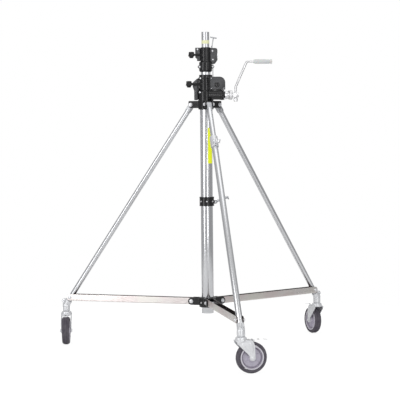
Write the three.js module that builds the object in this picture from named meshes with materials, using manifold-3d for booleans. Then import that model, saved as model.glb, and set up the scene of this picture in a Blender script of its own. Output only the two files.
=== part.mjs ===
// A crank lighting stand: a three-section wind-up column on three folding legs with braked swivel
// casters. The frame is in millimetres, +Z up, with its origin on the floor at the middle of the
// stand's footprint box; every piece is drawn about the column's axis and the whole is then moved.
// The front (levelling) leg points along -Y and the winch's crank shaft along +X.
import * as THREE from "three";
import { mergeVertices } from "three/addons/utils/BufferGeometryUtils.js";
import Module from "manifold-3d";

const wasm = await Module();
wasm.setup();

// ---------------------------------------------------------------- driving dimensions
const GAP = 0.35; // running gap kept between neighbouring pieces
const FINE = 24; // facets round the large tubes
const MEDIUM = 20; // facets round castings and wheels
const COARSE = 8; // facets round bolts and pins

const AZIMUTH = { front: -90, right: 30, left: 150 }; // each leg's direction, degrees from +X
const CASTER_HEADING = { front: 5, right: 102, left: -99 }; // where each wheel trails at rest

const BASE = { radius: 25, wall: 2, bottom: 152, top: 1061.5 };
const LOWER_RISER = { radius: 20, wall: 1.8, bottom: 176, top: 1197 };
const UPPER_RISER = { radius: 16, wall: 1.7, bottom: 196, top: 1327 };
const BUSH = { lowerBottom: 168, upperBottom: 190, length: 40 };

const HUB_PIVOT = { r: 66, z: 201 }; // brace pivot on the sliding hub
const LEG_TOP = { r: 62, z: 1025 }; // leg pivot on the winch casting
const LEG_FOOT = { r: 628, z: 201 }; // brace pivot on the leg
const LEG_LENGTH = Math.hypot(LEG_FOOT.r - LEG_TOP.r, LEG_TOP.z - LEG_FOOT.z);
const LEG_LEAN = Math.atan2(LEG_FOOT.r - LEG_TOP.r, LEG_TOP.z - LEG_FOOT.z);
const LEG_TUBE = { radius: 11, wall: 1.5, below: 42 };
const OUTER_TUBE = { radius: 12.5, wall: 1.15, start: 168 }; // the levelling leg's lower tube
const INNER_TUBE_LENGTH = 420; // how far the levelling leg's upper tube reaches down from its pivot
const CLAMP = { start: 164, end: 214, radius: 16.5, screw: 24 }; // down the leg from its top pivot
const TONGUE = { width: 20, radius: 10.5, slot: 6, slotLean: 39 };

const PIN = 4; // radius of every pivot bolt
const CHEEK = { inner: 12.2, outer: 17.2 };
const CHANNEL = { width: 30, height: 28, wall: 2, overhang: 12, webGap: 22 };
const HUB = { radius: 36, bottom: 177, top: 218, lug: 15.5, inner: 15.6, outer: 20.4 };
const MID_COLLAR = { bottom: 602, top: 640, radius: 31 };
const LATCH = { x: 37, z: 618 };

const WINCH = { bottom: 1005, step: 1083, shoulder: 1132, top: 1149, low: 32, high: 26, ring: 27.5 };
const GEARBOX = {
  y: -34, axleX: 38, axleZ: 1105.5, wormZ: 1064, front: -43.3, left: 8, right: 74, bottom: 1086, top: 1140,
};
const WORM = { radius: 14.8, depth: 3, start: 22, pitch: 5.2, threads: 6 };
const WHEEL_TEETH = 30;
const CRANK = { hubStart: 70, hubEnd: 108, blockEnd: 131, throw: 139, gripStart: 198, gripEnd: 276 };

const COLLAR = { bottom: 1161, step: 1203, top: 1263, low: 27, high: 21 };
const PULLEY = { x: 41.5, z: 1228, groove: 8.7, rim: 11 };
const CABLE = { x: 31, radius: 1.5, bottom: 1141, top: 1227 };

const CASTER = { r: 650, wheel: 60, tread: 16, trail: 40, crown: 128, swivel: 140 };

const T_HANDLE_PLACE = new THREE.Matrix4().makeRotationY(0.17).setPosition(26, -4, COLLAR.top - 2);

// ---------------------------------------------------------------- materials
function material(color, roughness, metalness) {
  return new THREE.MeshStandardMaterial({ color, roughness, metalness });
}
const chrome = material(0xd6d8da, 0.16, 1.0);
const blackCasting = material(0x17181a, 0.45, 0.3);
const blackPlastic = material(0x141416, 0.5, 0.0);
const satinPlate = material(0x8f9194, 0.4, 0.9);
const channelSteel = material(0xcac4c2, 0.35, 0.9);
const zinc = material(0xdcdfe2, 0.35, 0.8);
const tyreRubber = material(0x4b4753, 0.75, 0.0);
const wheelPlastic = material(0xc6c2cf, 0.5, 0.0);
const gripPlastic = material(0xe4e4e2, 0.45, 0.0);
const bronze = material(0x9a7b46, 0.45, 0.8);
const nylon = material(0x2b2c2e, 0.6, 0.0);
const steel = material(0xb5b8bb, 0.3, 1.0);

// ---------------------------------------------------------------- solid helpers
const rad = THREE.MathUtils.degToRad;

// A closed geometry as a manifold solid: only positions count, and collapsed faces are dropped.
function solid(geometry) {
  const bare = new THREE.BufferGeometry();
  bare.setAttribute("position", geometry.getAttribute("position"));
  if (geometry.index) bare.setIndex(geometry.index);
  const merged = mergeVertices(bare, 1e-4);
  const index = merged.index.array;
  const faces = [];
  for (let i = 0; i < index.length; i += 3) {
    const [a, b, c] = [index[i], index[i + 1], index[i + 2]];
    if (a !== b && b !== c && c !== a) faces.push(a, b, c);
  }
  return new wasm.Manifold(
    new wasm.Mesh({
      numProp: 3,
      vertProperties: merged.getAttribute("position").array,
      triVerts: new Uint32Array(faces),
    }),
  );
}

const asSolid = (piece) => (piece.isBufferGeometry ? solid(piece) : piece);
const join = (first, ...rest) => rest.reduce((sum, piece) => sum.add(asSolid(piece)), asSolid(first));
const cut = (first, ...rest) => rest.reduce((sum, piece) => sum.subtract(asSolid(piece)), asSolid(first));

// A named mesh made from a solid or a closed geometry.
function part(name, piece, look) {
  const made = asSolid(piece).getMesh();
  const geometry = new THREE.BufferGeometry();
  geometry.setAttribute("position", new THREE.BufferAttribute(made.vertProperties, 3));
  geometry.setIndex(new THREE.BufferAttribute(made.triVerts, 1));
  geometry.computeVertexNormals();
  const mesh = new THREE.Mesh(geometry, look);
  mesh.name = name;
  return mesh;
}

// A body turned about +Z from an outline of [radius, height] points.
function turned(outline, facets = MEDIUM) {
  const points = outline.map(([r, z]) => new THREE.Vector2(r, z));
  const onAxis = points[0].x === 0 && points[points.length - 1].x === 0;
  if (!onAxis) points.push(points[0].clone());
  if (THREE.ShapeUtils.area(points) < 0) points.reverse();
  return new THREE.LatheGeometry(points, facets).rotateX(Math.PI / 2);
}

function disc(radius, from, to, facets = MEDIUM) {
  return turned([[0, from], [radius, from], [radius, to], [0, to]], facets);
}

function pipe(outer, inner, from, to, facets = MEDIUM) {
  return turned([[inner, from], [outer, from], [outer, to], [inner, to]], facets);
}

// The radius of a coarse hole that clears a round bar at any turn.
const bore = (radius) => (radius + GAP) / Math.cos(Math.PI / COARSE);

const alongX = (geometry) => geometry.rotateY(Math.PI / 2);
const alongY = (geometry) => geometry.rotateX(-Math.PI / 2);

// A round bar along X or Y between two stations.
const barX = (radius, from, to, y, z, facets) => alongX(disc(radius, from, to, facets)).translate(0, y, z);
const barY = (radius, from, to, x, z, facets) => alongY(disc(radius, from, to, facets)).translate(x, 0, z);

function box(x0, x1, y0, y1, z0, z1) {
  return new THREE.BoxGeometry(x1 - x0, y1 - y0, z1 - z0).translate(
    (x0 + x1) / 2,
    (y0 + y1) / 2,
    (z0 + z1) / 2,
  );
}

// A flat plate in the XZ plane, drawn as a shape of (x, z), from y0 to y1.
function plate(shape, y0, y1, curveSegments = 6) {
  const settings = { depth: y1 - y0, bevelEnabled: false, curveSegments };
  return new THREE.ExtrudeGeometry(shape, settings).rotateX(Math.PI / 2).translate(0, y1, 0);
}

function polygon(...corners) {
  return new THREE.Shape(corners.map(([x, z]) => new THREE.Vector2(x, z)));
}

// A bar with round ends between two points of the XZ plane.
function link(x0, z0, x1, z1, radius) {
  const lean = Math.atan2(z1 - z0, x1 - x0);
  const shape = new THREE.Shape();
  shape.absarc(x1, z1, radius, lean - Math.PI / 2, lean + Math.PI / 2);
  shape.absarc(x0, z0, radius, lean + Math.PI / 2, lean + 1.5 * Math.PI);
  return shape;
}

// A pivot bolt along Y with a head and a nut outside the half width given.
function pivotBolt(halfWidth) {
  const reach = halfWidth + 0.4;
  const head = disc(7, reach, reach + 4, 6);
  const nut = disc(6.5, -reach - 5, -reach, 6);
  return join(alongY(disc(PIN, -reach - 6, reach + 0.5, COARSE)), alongY(head), alongY(nut));
}

// A clamping knob on a stem along +Z: stem from `from`, lobed head from `head` to `end`.
function lobedKnob(from, head, end, radius, stem) {
  const lobes = 5;
  const shape = new THREE.Shape();
  const steps = lobes * 6;
  for (let i = 0; i < steps; i++) {
    const turn = (i / steps) * 2 * Math.PI;
    const reach = radius * (0.86 + 0.14 * Math.cos(lobes * turn));
    const point = [reach * Math.cos(turn), reach * Math.sin(turn)];
    if (i === 0) shape.moveTo(...point);
    else shape.lineTo(...point);
  }
  const head3d = new THREE.ExtrudeGeometry(shape, { depth: end - head, bevelEnabled: false });
  head3d.translate(0, 0, head);
  return join(head3d, disc(stem, from, head + 1, COARSE));
}

// A group that carries its meshes at a place and a turn.
function group(meshes, place = {}) {
  const made = new THREE.Group();
  made.add(...meshes);
  if (place.position) made.position.set(...place.position);
  if (place.rotation) made.rotation.set(...place.rotation);
  return made;
}

// ---------------------------------------------------------------- column
const baseTube = () => pipe(BASE.radius, BASE.radius - BASE.wall, BASE.bottom, BASE.top, FINE);

const riserTube = (tube) => pipe(tube.radius, tube.radius - tube.wall, tube.bottom, tube.top, FINE);

function slidingBush(inside, around, bottom) {
  return pipe(inside - GAP, around + GAP, bottom, bottom + BUSH.length);
}

// A bracket of two cheeks that reaches out from the column along an azimuth.
function legBracket(azimuth) {
  const shape = new THREE.Shape();
  shape.moveTo(24, 1012);
  shape.lineTo(64, 1012);
  shape.absarc(64, 1020, 8, -Math.PI / 2, 0);
  shape.lineTo(72, 1041);
  shape.lineTo(24, 1041);
  const hole = alongY(disc(bore(PIN), -20, 20, COARSE)).translate(LEG_TOP.r, 0, LEG_TOP.z);
  const cheeks = [-CHEEK.outer, CHEEK.inner].map((y) =>
    cut(plate(shape, y, y + CHEEK.outer - CHEEK.inner), hole),
  );
  const turn = new THREE.Matrix4().makeRotationZ(rad(azimuth));
  return cheeks.map((cheek) => cheek.transform([...turn.elements]));
}

// The gear case seen from the front: square to the column, with one large round corner.
function gearCaseOutline(inset) {
  const [left, right] = [GEARBOX.left + inset, GEARBOX.right - inset];
  const [bottom, top] = [GEARBOX.bottom + inset, GEARBOX.top - inset];
  const round = 24 - inset;
  const shape = new THREE.Shape();
  shape.moveTo(left, bottom);
  shape.lineTo(right, bottom);
  shape.lineTo(right, top - round);
  shape.absarc(right - round, top - round, round, 0, Math.PI / 2);
  shape.lineTo(left, top);
  return shape;
}

function winchBody() {
  const barrel = turned([
    [0, WINCH.bottom], [WINCH.low - 1.5, WINCH.bottom], [WINCH.low, WINCH.bottom + 1.5],
    [WINCH.low, WINCH.step - 3], [WINCH.high, WINCH.step], [WINCH.high, WINCH.shoulder],
    [WINCH.ring, WINCH.shoulder + 1.5], [WINCH.ring, WINCH.top - 1.5], [WINCH.ring - 1.5, WINCH.top],
    [0, WINCH.top],
  ]);
  const gearCase = plate(gearCaseOutline(0), GEARBOX.front, -22);
  const drumCase = box(20, GEARBOX.right, -23, 16, GEARBOX.bottom, 1128);
  const cableBoss = box(24, 38, -7, 7, 1120, 1140);
  const wormCase = barX(20, 2, 60, GEARBOX.y, GEARBOX.wormZ);
  const wormWeb = box(8, 60, GEARBOX.y - 8, -20, GEARBOX.wormZ, 1090);
  const sideFlange = box(-38, -22, 3.9, 11, 1048, 1128);
  const whole = join(
    barrel, gearCase, drumCase, cableBoss, wormCase, wormWeb, sideFlange,
    ...Object.values(AZIMUTH).flatMap(legBracket),
  );
  return cut(
    whole,
    disc(BASE.radius + GAP, WINCH.bottom - 1, BASE.top + 0.5, FINE),
    disc(LOWER_RISER.radius + GAP, BASE.top, WINCH.top + 1, FINE),
    barY(27.5, GEARBOX.front - 1, -27.5, GEARBOX.axleX, GEARBOX.axleZ),
    barY(11.6, -28, 12.5, GEARBOX.axleX, GEARBOX.axleZ),
    barY(bore(5), 12, 17, GEARBOX.axleX, GEARBOX.axleZ, COARSE),
    barX(15.6, 18, 61, GEARBOX.y, GEARBOX.wormZ),
    barX(bore(6), 9, 19, GEARBOX.y, GEARBOX.wormZ, COARSE),
    disc(bore(CABLE.radius), CABLE.bottom - 4, WINCH.top, COARSE).translate(CABLE.x, 0, 0),
  );
}

function winchCover() {
  const boss = alongY(turned([[0, 43.7], [11, 43.7], [10, 47.5], [6, 47.5], [5, 49], [0, 49]], 20));
  boss.rotateZ(Math.PI).translate(GEARBOX.axleX, 0, GEARBOX.axleZ);
  const face = plate(gearCaseOutline(2.5), GEARBOX.front - 3, GEARBOX.front - GAP);
  const axleSeat = barY(bore(5), -45.5, -43, GEARBOX.axleX, GEARBOX.axleZ, COARSE);
  return cut(join(face, boss), axleSeat);
}

function winchSidePlate() {
  const shape = polygon(
    [-28, 1136], [-37, 1133], [-55, 1117], [-55, 1099], [-49, 1083], [-49, 1044], [-33, 1044],
    [-33, 1080], [-28, 1085],
  );
  return plate(shape, 0.5, 3.5);
}

function wormEndCap() {
  const { y, wormZ } = GEARBOX;
  const half = 21.4;
  const flange = plate(
    polygon(
      [-half, -half + 8], [-half + 8, -half], [half - 8, -half], [half, -half + 8],
      [half, half - 8], [half - 8, half], [-half + 8, half], [-half, half - 8],
    ),
    0,
    6,
  );
  flange.rotateZ(Math.PI / 2).translate(66.4, y, wormZ);
  const neck = barX(13, 66, 69.4, y, wormZ);
  return cut(join(flange, neck), barX(bore(6), 55, 75, y, wormZ, COARSE));
}

function midCollar() {
  const ring = turned([
    [BASE.radius + GAP, MID_COLLAR.bottom], [MID_COLLAR.radius - 1.5, MID_COLLAR.bottom],
    [MID_COLLAR.radius, MID_COLLAR.bottom + 1.5], [MID_COLLAR.radius, MID_COLLAR.top - 1.5],
    [MID_COLLAR.radius - 1.5, MID_COLLAR.top], [BASE.radius + GAP, MID_COLLAR.top],
  ], FINE);
  const lug = plate(link(29, LATCH.z, LATCH.x, LATCH.z, 7), -4, 4);
  const hole = barY(bore(3), -6, 6, LATCH.x, LATCH.z, COARSE);
  return cut(join(ring, lug), hole, disc(BASE.radius + GAP, MID_COLLAR.bottom, MID_COLLAR.top, FINE));
}

// The transport latch: a flat lever with a hooked tip on its own pin.
function latchLever() {
  const arm = plate(link(LATCH.x, LATCH.z, LATCH.x + 52, LATCH.z + 19, 5), 4.4, 8.4);
  const hook = plate(link(LATCH.x + 52, LATCH.z + 19, LATCH.x + 57, LATCH.z + 12, 3), 4.4, 8.4);
  const pin = barY(3, -6.5, 6, LATCH.x, LATCH.z, COARSE);
  const cap = barY(5, -8, -4.6, LATCH.x, LATCH.z, COARSE);
  return join(arm, hook, pin, cap);
}

// ---------------------------------------------------------------- winch train and crank
function wormShaft() {
  const outline = [[0, 11], [6, 11], [6, WORM.start - 1]];
  for (let i = 0; i < WORM.threads; i++) {
    const x = WORM.start + i * WORM.pitch;
    outline.push([WORM.radius - WORM.depth, x], [WORM.radius, x + 1.4]);
    outline.push([WORM.radius, x + 2.8], [WORM.radius - WORM.depth, x + 4.2]);
  }
  const end = WORM.start + WORM.threads * WORM.pitch;
  outline.push([6, end], [6, CRANK.hubEnd - 3], [0, CRANK.hubEnd - 3]);
  return alongX(turned(outline, 16)).translate(0, GEARBOX.y, GEARBOX.wormZ);
}

function crankHub() {
  const bell = alongX(
    turned([
      [0, CRANK.hubStart], [14, CRANK.hubStart], [16.5, CRANK.hubStart + 3], [16.5, 86], [15, 89],
      [19, 91], [19.6, 93], [19.6, 103], [18, 105], [9, CRANK.hubEnd], [0, CRANK.hubEnd],
    ]),
  ).translate(0, GEARBOX.y, GEARBOX.wormZ);
  const { y, wormZ } = GEARBOX;
  const block = box(CRANK.hubEnd - 1, CRANK.blockEnd, y - 9.5, y + 9.5, wormZ - 9.5, wormZ + 9.5);
  return cut(
    join(bell, block),
    barX(bore(6), CRANK.hubStart - 1, CRANK.hubEnd - 2.5, y, wormZ, COARSE),
    disc(bore(5), wormZ - 12, wormZ + 12, COARSE).translate(120, y, 0),
  );
}

// The crank arm: a round bar that rises from the block, leans outwards and ends as the grip's spindle.
function crankArm() {
  const z = GEARBOX.wormZ;
  const path = new THREE.CatmullRomCurve3(
    [
      [120, z - 4], [120, z + 12], [120, z + 26], [122, z + 38], [142, z + 82], [160, z + 121],
      [168, z + 135], [178, z + CRANK.throw], [200, z + CRANK.throw], [230, z + CRANK.throw],
      [266, z + CRANK.throw],
    ].map(([x, height]) => new THREE.Vector3(x, 0, height)),
    false,
    "catmullrom",
    0.4,
  );
  const section = new THREE.Shape().absarc(0, 0, 5, 0, 2 * Math.PI);
  const settings = { steps: 26, curveSegments: 6, bevelEnabled: false, extrudePath: path };
  return new THREE.ExtrudeGeometry(section, settings).translate(0, GEARBOX.y, 0);
}

function crankGrip() {
  const sleeve = turned(
    [
      [0, CRANK.gripStart], [7, CRANK.gripStart], [9, CRANK.gripStart + 3], [9.5, 235], [9, 266],
      [7.5, 268], [10, 269.5], [10, 274], [8, CRANK.gripEnd], [0, CRANK.gripEnd],
    ],
    16,
  );
  const bored = cut(alongX(sleeve), alongX(disc(bore(5), CRANK.gripStart - 1, 268, COARSE)));
  return bored.translate([0, GEARBOX.y, GEARBOX.wormZ + CRANK.throw]);
}

function crankLockKnob() {
  const head = turned([[0, -27], [7, -27], [8.5, -25], [8.5, -14], [7, -11], [0, -11]], 16);
  const stem = disc(4, -12, -4.6, COARSE);
  return join(head, stem).translate([120, GEARBOX.y, GEARBOX.wormZ]);
}

function wormWheel() {
  const shape = new THREE.Shape();
  const [root, tip] = [23, 26];
  for (let i = 0; i < WHEEL_TEETH; i++) {
    [[root, 0.0], [tip, 0.28], [tip, 0.62], [root, 0.9]].forEach(([reach, share]) => {
      const turn = ((i + share) / WHEEL_TEETH) * 2 * Math.PI;
      const point = [reach * Math.cos(turn), reach * Math.sin(turn)];
      if (i === 0 && share === 0) shape.moveTo(...point);
      else shape.lineTo(...point);
    });
  }
  shape.holes.push(new THREE.Path().absarc(0, 0, 5 + GAP, 0, 2 * Math.PI, true));
  return plate(shape, -39, -29, 6).translate(GEARBOX.axleX, 0, GEARBOX.axleZ);
}

function cableDrum() {
  const outline = [
    [0, -45], [5, -45], [5, -28.6], [11, -28.6], [11, -26], [7, -25], [7, 8], [11, 9], [11, 11.8],
    [5, 11.8], [5, 15.5], [0, 15.5],
  ];
  return alongY(turned(outline, 16)).translate(GEARBOX.axleX, 0, GEARBOX.axleZ);
}

// ---------------------------------------------------------------- riser head
function pulleyCaseOutline(inset) {
  const [left, right, bottom, top] = [16 + inset, 50 - inset, 1194 + inset, 1261 - inset];
  const shape = new THREE.Shape();
  shape.moveTo(left, bottom + 4);
  shape.lineTo(30, bottom);
  shape.lineTo(38, bottom);
  shape.lineTo(right, bottom + 16);
  shape.lineTo(right, top - 12);
  shape.absarc(right - 10, top - 10, 10, 0, Math.PI / 2);
  shape.lineTo(left, top);
  return shape;
}

function riserCollar() {
  const barrel = turned([
    [0, COLLAR.bottom], [COLLAR.low - 4, COLLAR.bottom], [COLLAR.low, COLLAR.bottom + 5],
    [COLLAR.low, COLLAR.step - 2], [COLLAR.low - 2, COLLAR.step], [COLLAR.high, COLLAR.step],
    [COLLAR.high, COLLAR.top - 1.5], [COLLAR.high - 1.5, COLLAR.top], [0, COLLAR.top],
  ]);
  const pulleyCase = plate(pulleyCaseOutline(0), -9, 9);
  const sideFlange = box(-34, -14, 4.4, 11, 1207, 1259);
  const ears = [-28, 28].map((x) => barY(6, -14, -4, x, 1182));
  const earWebs = [-28, 28].map((x) => box(Math.min(x, 0), Math.max(x, 0), -14, -4, 1176, 1188));
  const whole = join(barrel, pulleyCase, sideFlange, ...ears, ...earWebs);
  return cut(
    whole,
    disc(LOWER_RISER.radius + GAP, COLLAR.bottom - 1, LOWER_RISER.top + 0.5, FINE),
    disc(UPPER_RISER.radius + GAP, LOWER_RISER.top, COLLAR.top + 1, FINE),
    barY(12.5, -10, 5, PULLEY.x, PULLEY.z),
    barY(bore(3), 4, 7.5, PULLEY.x, PULLEY.z, COARSE),
    box(CABLE.x - 2, CABLE.x + 2, -2, 2, 1190, PULLEY.z),
    disc(bore(2), -8, 4, COARSE).applyMatrix4(T_HANDLE_PLACE),
  );
}

const riserSidePlate = () =>
  plate(polygon([-21.5, 1262], [-43, 1262], [-43, 1222], [-28, 1206], [-21.5, 1206]), 1, 4);

function pulleyCover() {
  const face = plate(pulleyCaseOutline(2.5), -12, -9 - GAP);
  const seat = barY(bore(3), -10.8, -9, PULLEY.x, PULLEY.z, COARSE);
  const barrel = disc(COLLAR.high + GAP, COLLAR.bottom, COLLAR.top);
  const lowerBarrel = disc(COLLAR.low + GAP, COLLAR.bottom, COLLAR.step + GAP);
  return cut(face, seat, barrel, lowerBarrel);
}

function cablePulley() {
  const { rim, groove, x, z } = PULLEY;
  const outline = [
    [0, -10.4], [3, -10.4], [3, -4], [rim, -4], [groove, -1.9], [groove, 1.9], [rim, 4], [3, 4],
    [3, 7.2], [0, 7.2],
  ];
  return alongY(turned(outline, 16)).translate(x, 0, z);
}

const riserCable = () => disc(CABLE.radius, CABLE.bottom, CABLE.top, 8).translate(CABLE.x, 0, 0);

// A T-shaped clamping screw along +Z.
function tHandle() {
  const stem = disc(2, -5, 43, 8);
  const bar = barX(2.8, -14, 14, 0, 43, 10);
  return join(stem, bar);
}

// ---------------------------------------------------------------- hub, braces and legs
function lowerHub() {
  const ring = turned([
    [0, HUB.bottom], [HUB.radius - 3, HUB.bottom], [HUB.radius, HUB.bottom + 3],
    [HUB.radius, HUB.top - 3], [HUB.radius - 3, HUB.top], [0, HUB.top],
  ]);
  const cheekShape = link(26, HUB_PIVOT.z, HUB_PIVOT.r, HUB_PIVOT.z, HUB.lug);
  const hole = barY(bore(PIN), -25, 25, HUB_PIVOT.r, HUB_PIVOT.z, COARSE);
  const lugs = Object.values(AZIMUTH).flatMap((azimuth) => {
    const turn = new THREE.Matrix4().makeRotationZ(rad(azimuth));
    return [-HUB.outer, HUB.inner].map((y) =>
      cut(plate(cheekShape, y, y + HUB.outer - HUB.inner), hole).transform([...turn.elements]),
    );
  });
  return cut(join(ring, ...lugs), disc(BASE.radius + GAP, HUB.bottom - 1, HUB.top + 1, FINE));
}

// A brace: a channel, open at the top, whose cheeks run past both pivots with round ends.
function brace() {
  const { width, height, wall, overhang, webGap } = CHANNEL;
  const [inner, outer] = [HUB_PIVOT.r, LEG_FOOT.r];
  const half = height / 2;
  const cheek = new THREE.Shape();
  cheek.moveTo(inner, -half);
  cheek.lineTo(outer, -half);
  cheek.absellipse(outer, 0, overhang, half, -Math.PI / 2, Math.PI / 2);
  cheek.lineTo(inner, half);
  cheek.absellipse(inner, 0, overhang, half, Math.PI / 2, 1.5 * Math.PI);
  const sides = [-width / 2, width / 2 - wall].map((y) => plate(cheek, y, y + wall));
  const web = box(inner + webGap, outer - webGap, -width / 2, width / 2, -half, -half + wall);
  const bores = [inner, outer].map((x) => barY(bore(PIN), -20, 20, x, 0, COARSE));
  return cut(join(...sides, web), ...bores).translate([0, 0, HUB_PIVOT.z]);
}

// The flat tongue at a leg's top, with the slot that lets its pivot bolt leave as the stand folds.
function legTongue() {
  const { width, radius, slot, slotLean } = TONGUE;
  const blade = plate(link(0, LEG_LENGTH - 30, 0, LEG_LENGTH, radius), -width / 2, width / 2);
  const eye = alongY(disc(slot, -width, width, COARSE)).translate(0, 0, LEG_LENGTH);
  const mouth = box(-slot, slot, -width, width, 0, 30);
  mouth.rotateY(rad(-slotLean)).translate(0, 0, LEG_LENGTH);
  return cut(blade, eye, mouth);
}

// A leg tube with its tongue, in the leg's own frame: +Z up the leg, origin on the brace pivot.
function legTube() {
  const { radius, wall, below } = LEG_TUBE;
  const body = pipe(radius, radius - wall, -below, LEG_LENGTH - 22);
  const eye = alongY(disc(bore(PIN), -20, 20, COARSE));
  return cut(join(body, legTongue()), eye);
}

function levellingUpperTube() {
  const { radius, wall } = LEG_TUBE;
  return join(pipe(radius, radius - wall, LEG_LENGTH - INNER_TUBE_LENGTH, LEG_LENGTH - 22), legTongue());
}

function levellingLowerTube() {
  const { radius, wall, start } = OUTER_TUBE;
  const body = pipe(radius, radius - wall, -LEG_TUBE.below, LEG_LENGTH - start);
  return cut(body, alongY(disc(bore(PIN), -20, 20, COARSE)));
}

// The split clamp on the levelling leg's outer tube, with an ear for its screw.
function levellingClamp() {
  const [top, bottom] = [LEG_LENGTH - CLAMP.start, LEG_LENGTH - CLAMP.end];
  const lip = LEG_LENGTH - OUTER_TUBE.start + GAP;
  const body = turned([
    [0, bottom], [CLAMP.radius - 1.5, bottom], [CLAMP.radius, bottom + 2], [CLAMP.radius, top - 2],
    [CLAMP.radius - 1.5, top], [0, top],
  ]);
  const ear = box(8, CLAMP.screw + 6, -8, 8, bottom + 4, bottom + 24);
  return cut(
    join(body, ear),
    disc(OUTER_TUBE.radius + GAP, bottom - 1, lip),
    disc(LEG_TUBE.radius + GAP, lip - 1, top + 1),
    alongY(disc(bore(3), -9, 9, COARSE)).translate(CLAMP.screw, 0, bottom + 14),
  );
}

// The clamp's screw, with a short wing bar to turn it by.
function levellingScrew() {
  const shank = barY(3, -11, 9, 0, 0, COARSE);
  const head = barY(6, 8 + GAP, 20, 0, 0, 8);
  const wing = box(-13, 13, 15, 20, -2.5, 2.5);
  return join(shank, head, wing).translate([CLAMP.screw, 0, LEG_LENGTH - CLAMP.end + 14]);
}

// The caster socket: a sleeve on the leg's end, a pinch lug and an upright boss for the caster's stem.
function casterSocket(tubeRadius) {
  const lean = new THREE.Matrix4().makeRotationY(-LEG_LEAN).setPosition(LEG_FOOT.r, 0, LEG_FOOT.z);
  const sleeve = join(disc(15, -46, -17), box(8, 25, -7, 7, -40, -23)).transform([...lean.elements]);
  const tubeBore = cut(disc(tubeRadius + GAP, -LEG_TUBE.below - GAP, -10)).transform([...lean.elements]);
  const boss = turned([
    [0, CASTER.swivel + 1], [15, CASTER.swivel + 1], [16, CASTER.swivel + 3],
    [16, 166], [13, 171], [0, 171],
  ]).translate(CASTER.r, 0, 0);
  const stemBore = disc(bore(6), CASTER.swivel, 158, COARSE).translate(CASTER.r, 0, 0);
  return cut(join(sleeve, boss), tubeBore, stemBore);
}

// ---------------------------------------------------------------- casters, about their swivel axis
// The wheel trails along +X.
function casterFork() {
  const { trail, crown, swivel, wheel } = CASTER;
  const dome = turned(
    [
      [0, crown - 4], [25, crown - 4], [25, crown], [22, crown + 3],
      [22, swivel - 3], [18, swivel], [0, swivel],
    ],
    20,
  );
  const stem = disc(6, swivel - 1, 156, COARSE);
  const bridge = box(-20, trail - 2, -22, 22, crown - 4, crown);
  const arm = new THREE.Shape();
  arm.moveTo(-24, crown);
  arm.lineTo(-22, crown - 10);
  arm.lineTo(trail - 11, wheel + 2);
  arm.absarc(trail, wheel, 11, Math.PI, 2 * Math.PI);
  arm.lineTo(trail + 9, crown - 18);
  arm.lineTo(trail - 2, crown);
  const arms = [-22, 19].map((y) => plate(arm, y, y + 3, 8));
  const axle = barY(PIN, -26, 26, trail, wheel, COARSE);
  const heads = [barY(7, -26, -21.5, trail, wheel, 6), barY(7, 21.5, 26, trail, wheel, 6)];
  return join(dome, stem, bridge, ...arms, axle, ...heads);
}

function wheelCentre() {
  const outline = [
    [PIN + GAP, -18], [13, -18], [17, -7], [38, -7], [42, -13], [46.5, -13],
    [46.5, 13], [42, 13], [38, 7], [17, 7], [13, 18], [PIN + GAP, 18],
  ];
  return alongY(turned(outline)).translate(CASTER.trail, 0, CASTER.wheel);
}

function tyre() {
  const { wheel, tread, trail } = CASTER;
  const flat = wheel / Math.cos(Math.PI / MEDIUM); // the tread's facets just touch the wheel's circle
  const outline = [
    [48, -14], [54, -tread], [flat - 2, -tread + 3], [flat, -tread + 9], [flat, tread - 9],
    [flat - 2, tread - 3], [54, tread], [48, 14],
  ];
  const body = turned(outline).rotateZ(Math.PI / MEDIUM);
  return alongY(body).translate(trail, 0, wheel);
}

function brakePedal() {
  const x = CASTER.trail + 6;
  const z = CASTER.crown - 2;
  const strip = polygon(
    [x, z - 1.5], [x + 40, z - 1.5], [x + 62, z - 5],
    [x + 62, z - 2], [x + 40, z + 1.5], [x, z + 1.5],
  );
  const tail = plate(strip, -14, 14);
  const barrel = barY(3.2, -16, 16, x, z, COARSE);
  return join(tail, barrel);
}

// ---------------------------------------------------------------- assembly
function caster(side) {
  const meshes = [
    part(`${side}_caster_fork`, casterFork(), zinc),
    part(`${side}_wheel_centre`, wheelCentre(), wheelPlastic),
    part(`${side}_tyre`, tyre(), tyreRubber),
    part(`${side}_brake_pedal`, brakePedal(), zinc),
  ];
  const heading = rad(CASTER_HEADING[side] - AZIMUTH[side]);
  return group(meshes, { position: [CASTER.r, 0, 0], rotation: [0, 0, heading] });
}

function legTubes(side) {
  if (side !== "front") return [part(`${side}_leg_tube`, legTube(), chrome)];
  return [
    part("front_leg_upper_tube", levellingUpperTube(), chrome),
    part("front_leg_lower_tube", levellingLowerTube(), chrome),
    part("levelling_clamp", levellingClamp(), zinc),
    part("levelling_screw", levellingScrew(), zinc),
  ];
}

// One leg with its brace and caster, drawn along +X and turned to its azimuth.
function leg(side) {
  const leaning = group(legTubes(side), {
    position: [LEG_FOOT.r, 0, LEG_FOOT.z],
    rotation: [0, -LEG_LEAN, 0],
  });
  const boltAt = (name, x, z, halfWidth) => {
    const bolt = part(name, pivotBolt(halfWidth), zinc);
    bolt.position.set(x, 0, z);
    return bolt;
  };
  const tubeRadius = side === "front" ? OUTER_TUBE.radius : LEG_TUBE.radius;
  const upright = [
    part(`${side}_brace`, brace(), channelSteel),
    part(`${side}_caster_socket`, casterSocket(tubeRadius), zinc),
    boltAt(`${side}_leg_top_bolt`, LEG_TOP.r, LEG_TOP.z, CHEEK.outer),
    boltAt(`${side}_hub_bolt`, HUB_PIVOT.r, HUB_PIVOT.z, HUB.outer),
    boltAt(`${side}_leg_bolt`, LEG_FOOT.r, LEG_FOOT.z, CHANNEL.width / 2),
  ];
  return group([...upright, leaning, caster(side)], { rotation: [0, 0, rad(AZIMUTH[side])] });
}

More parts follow.
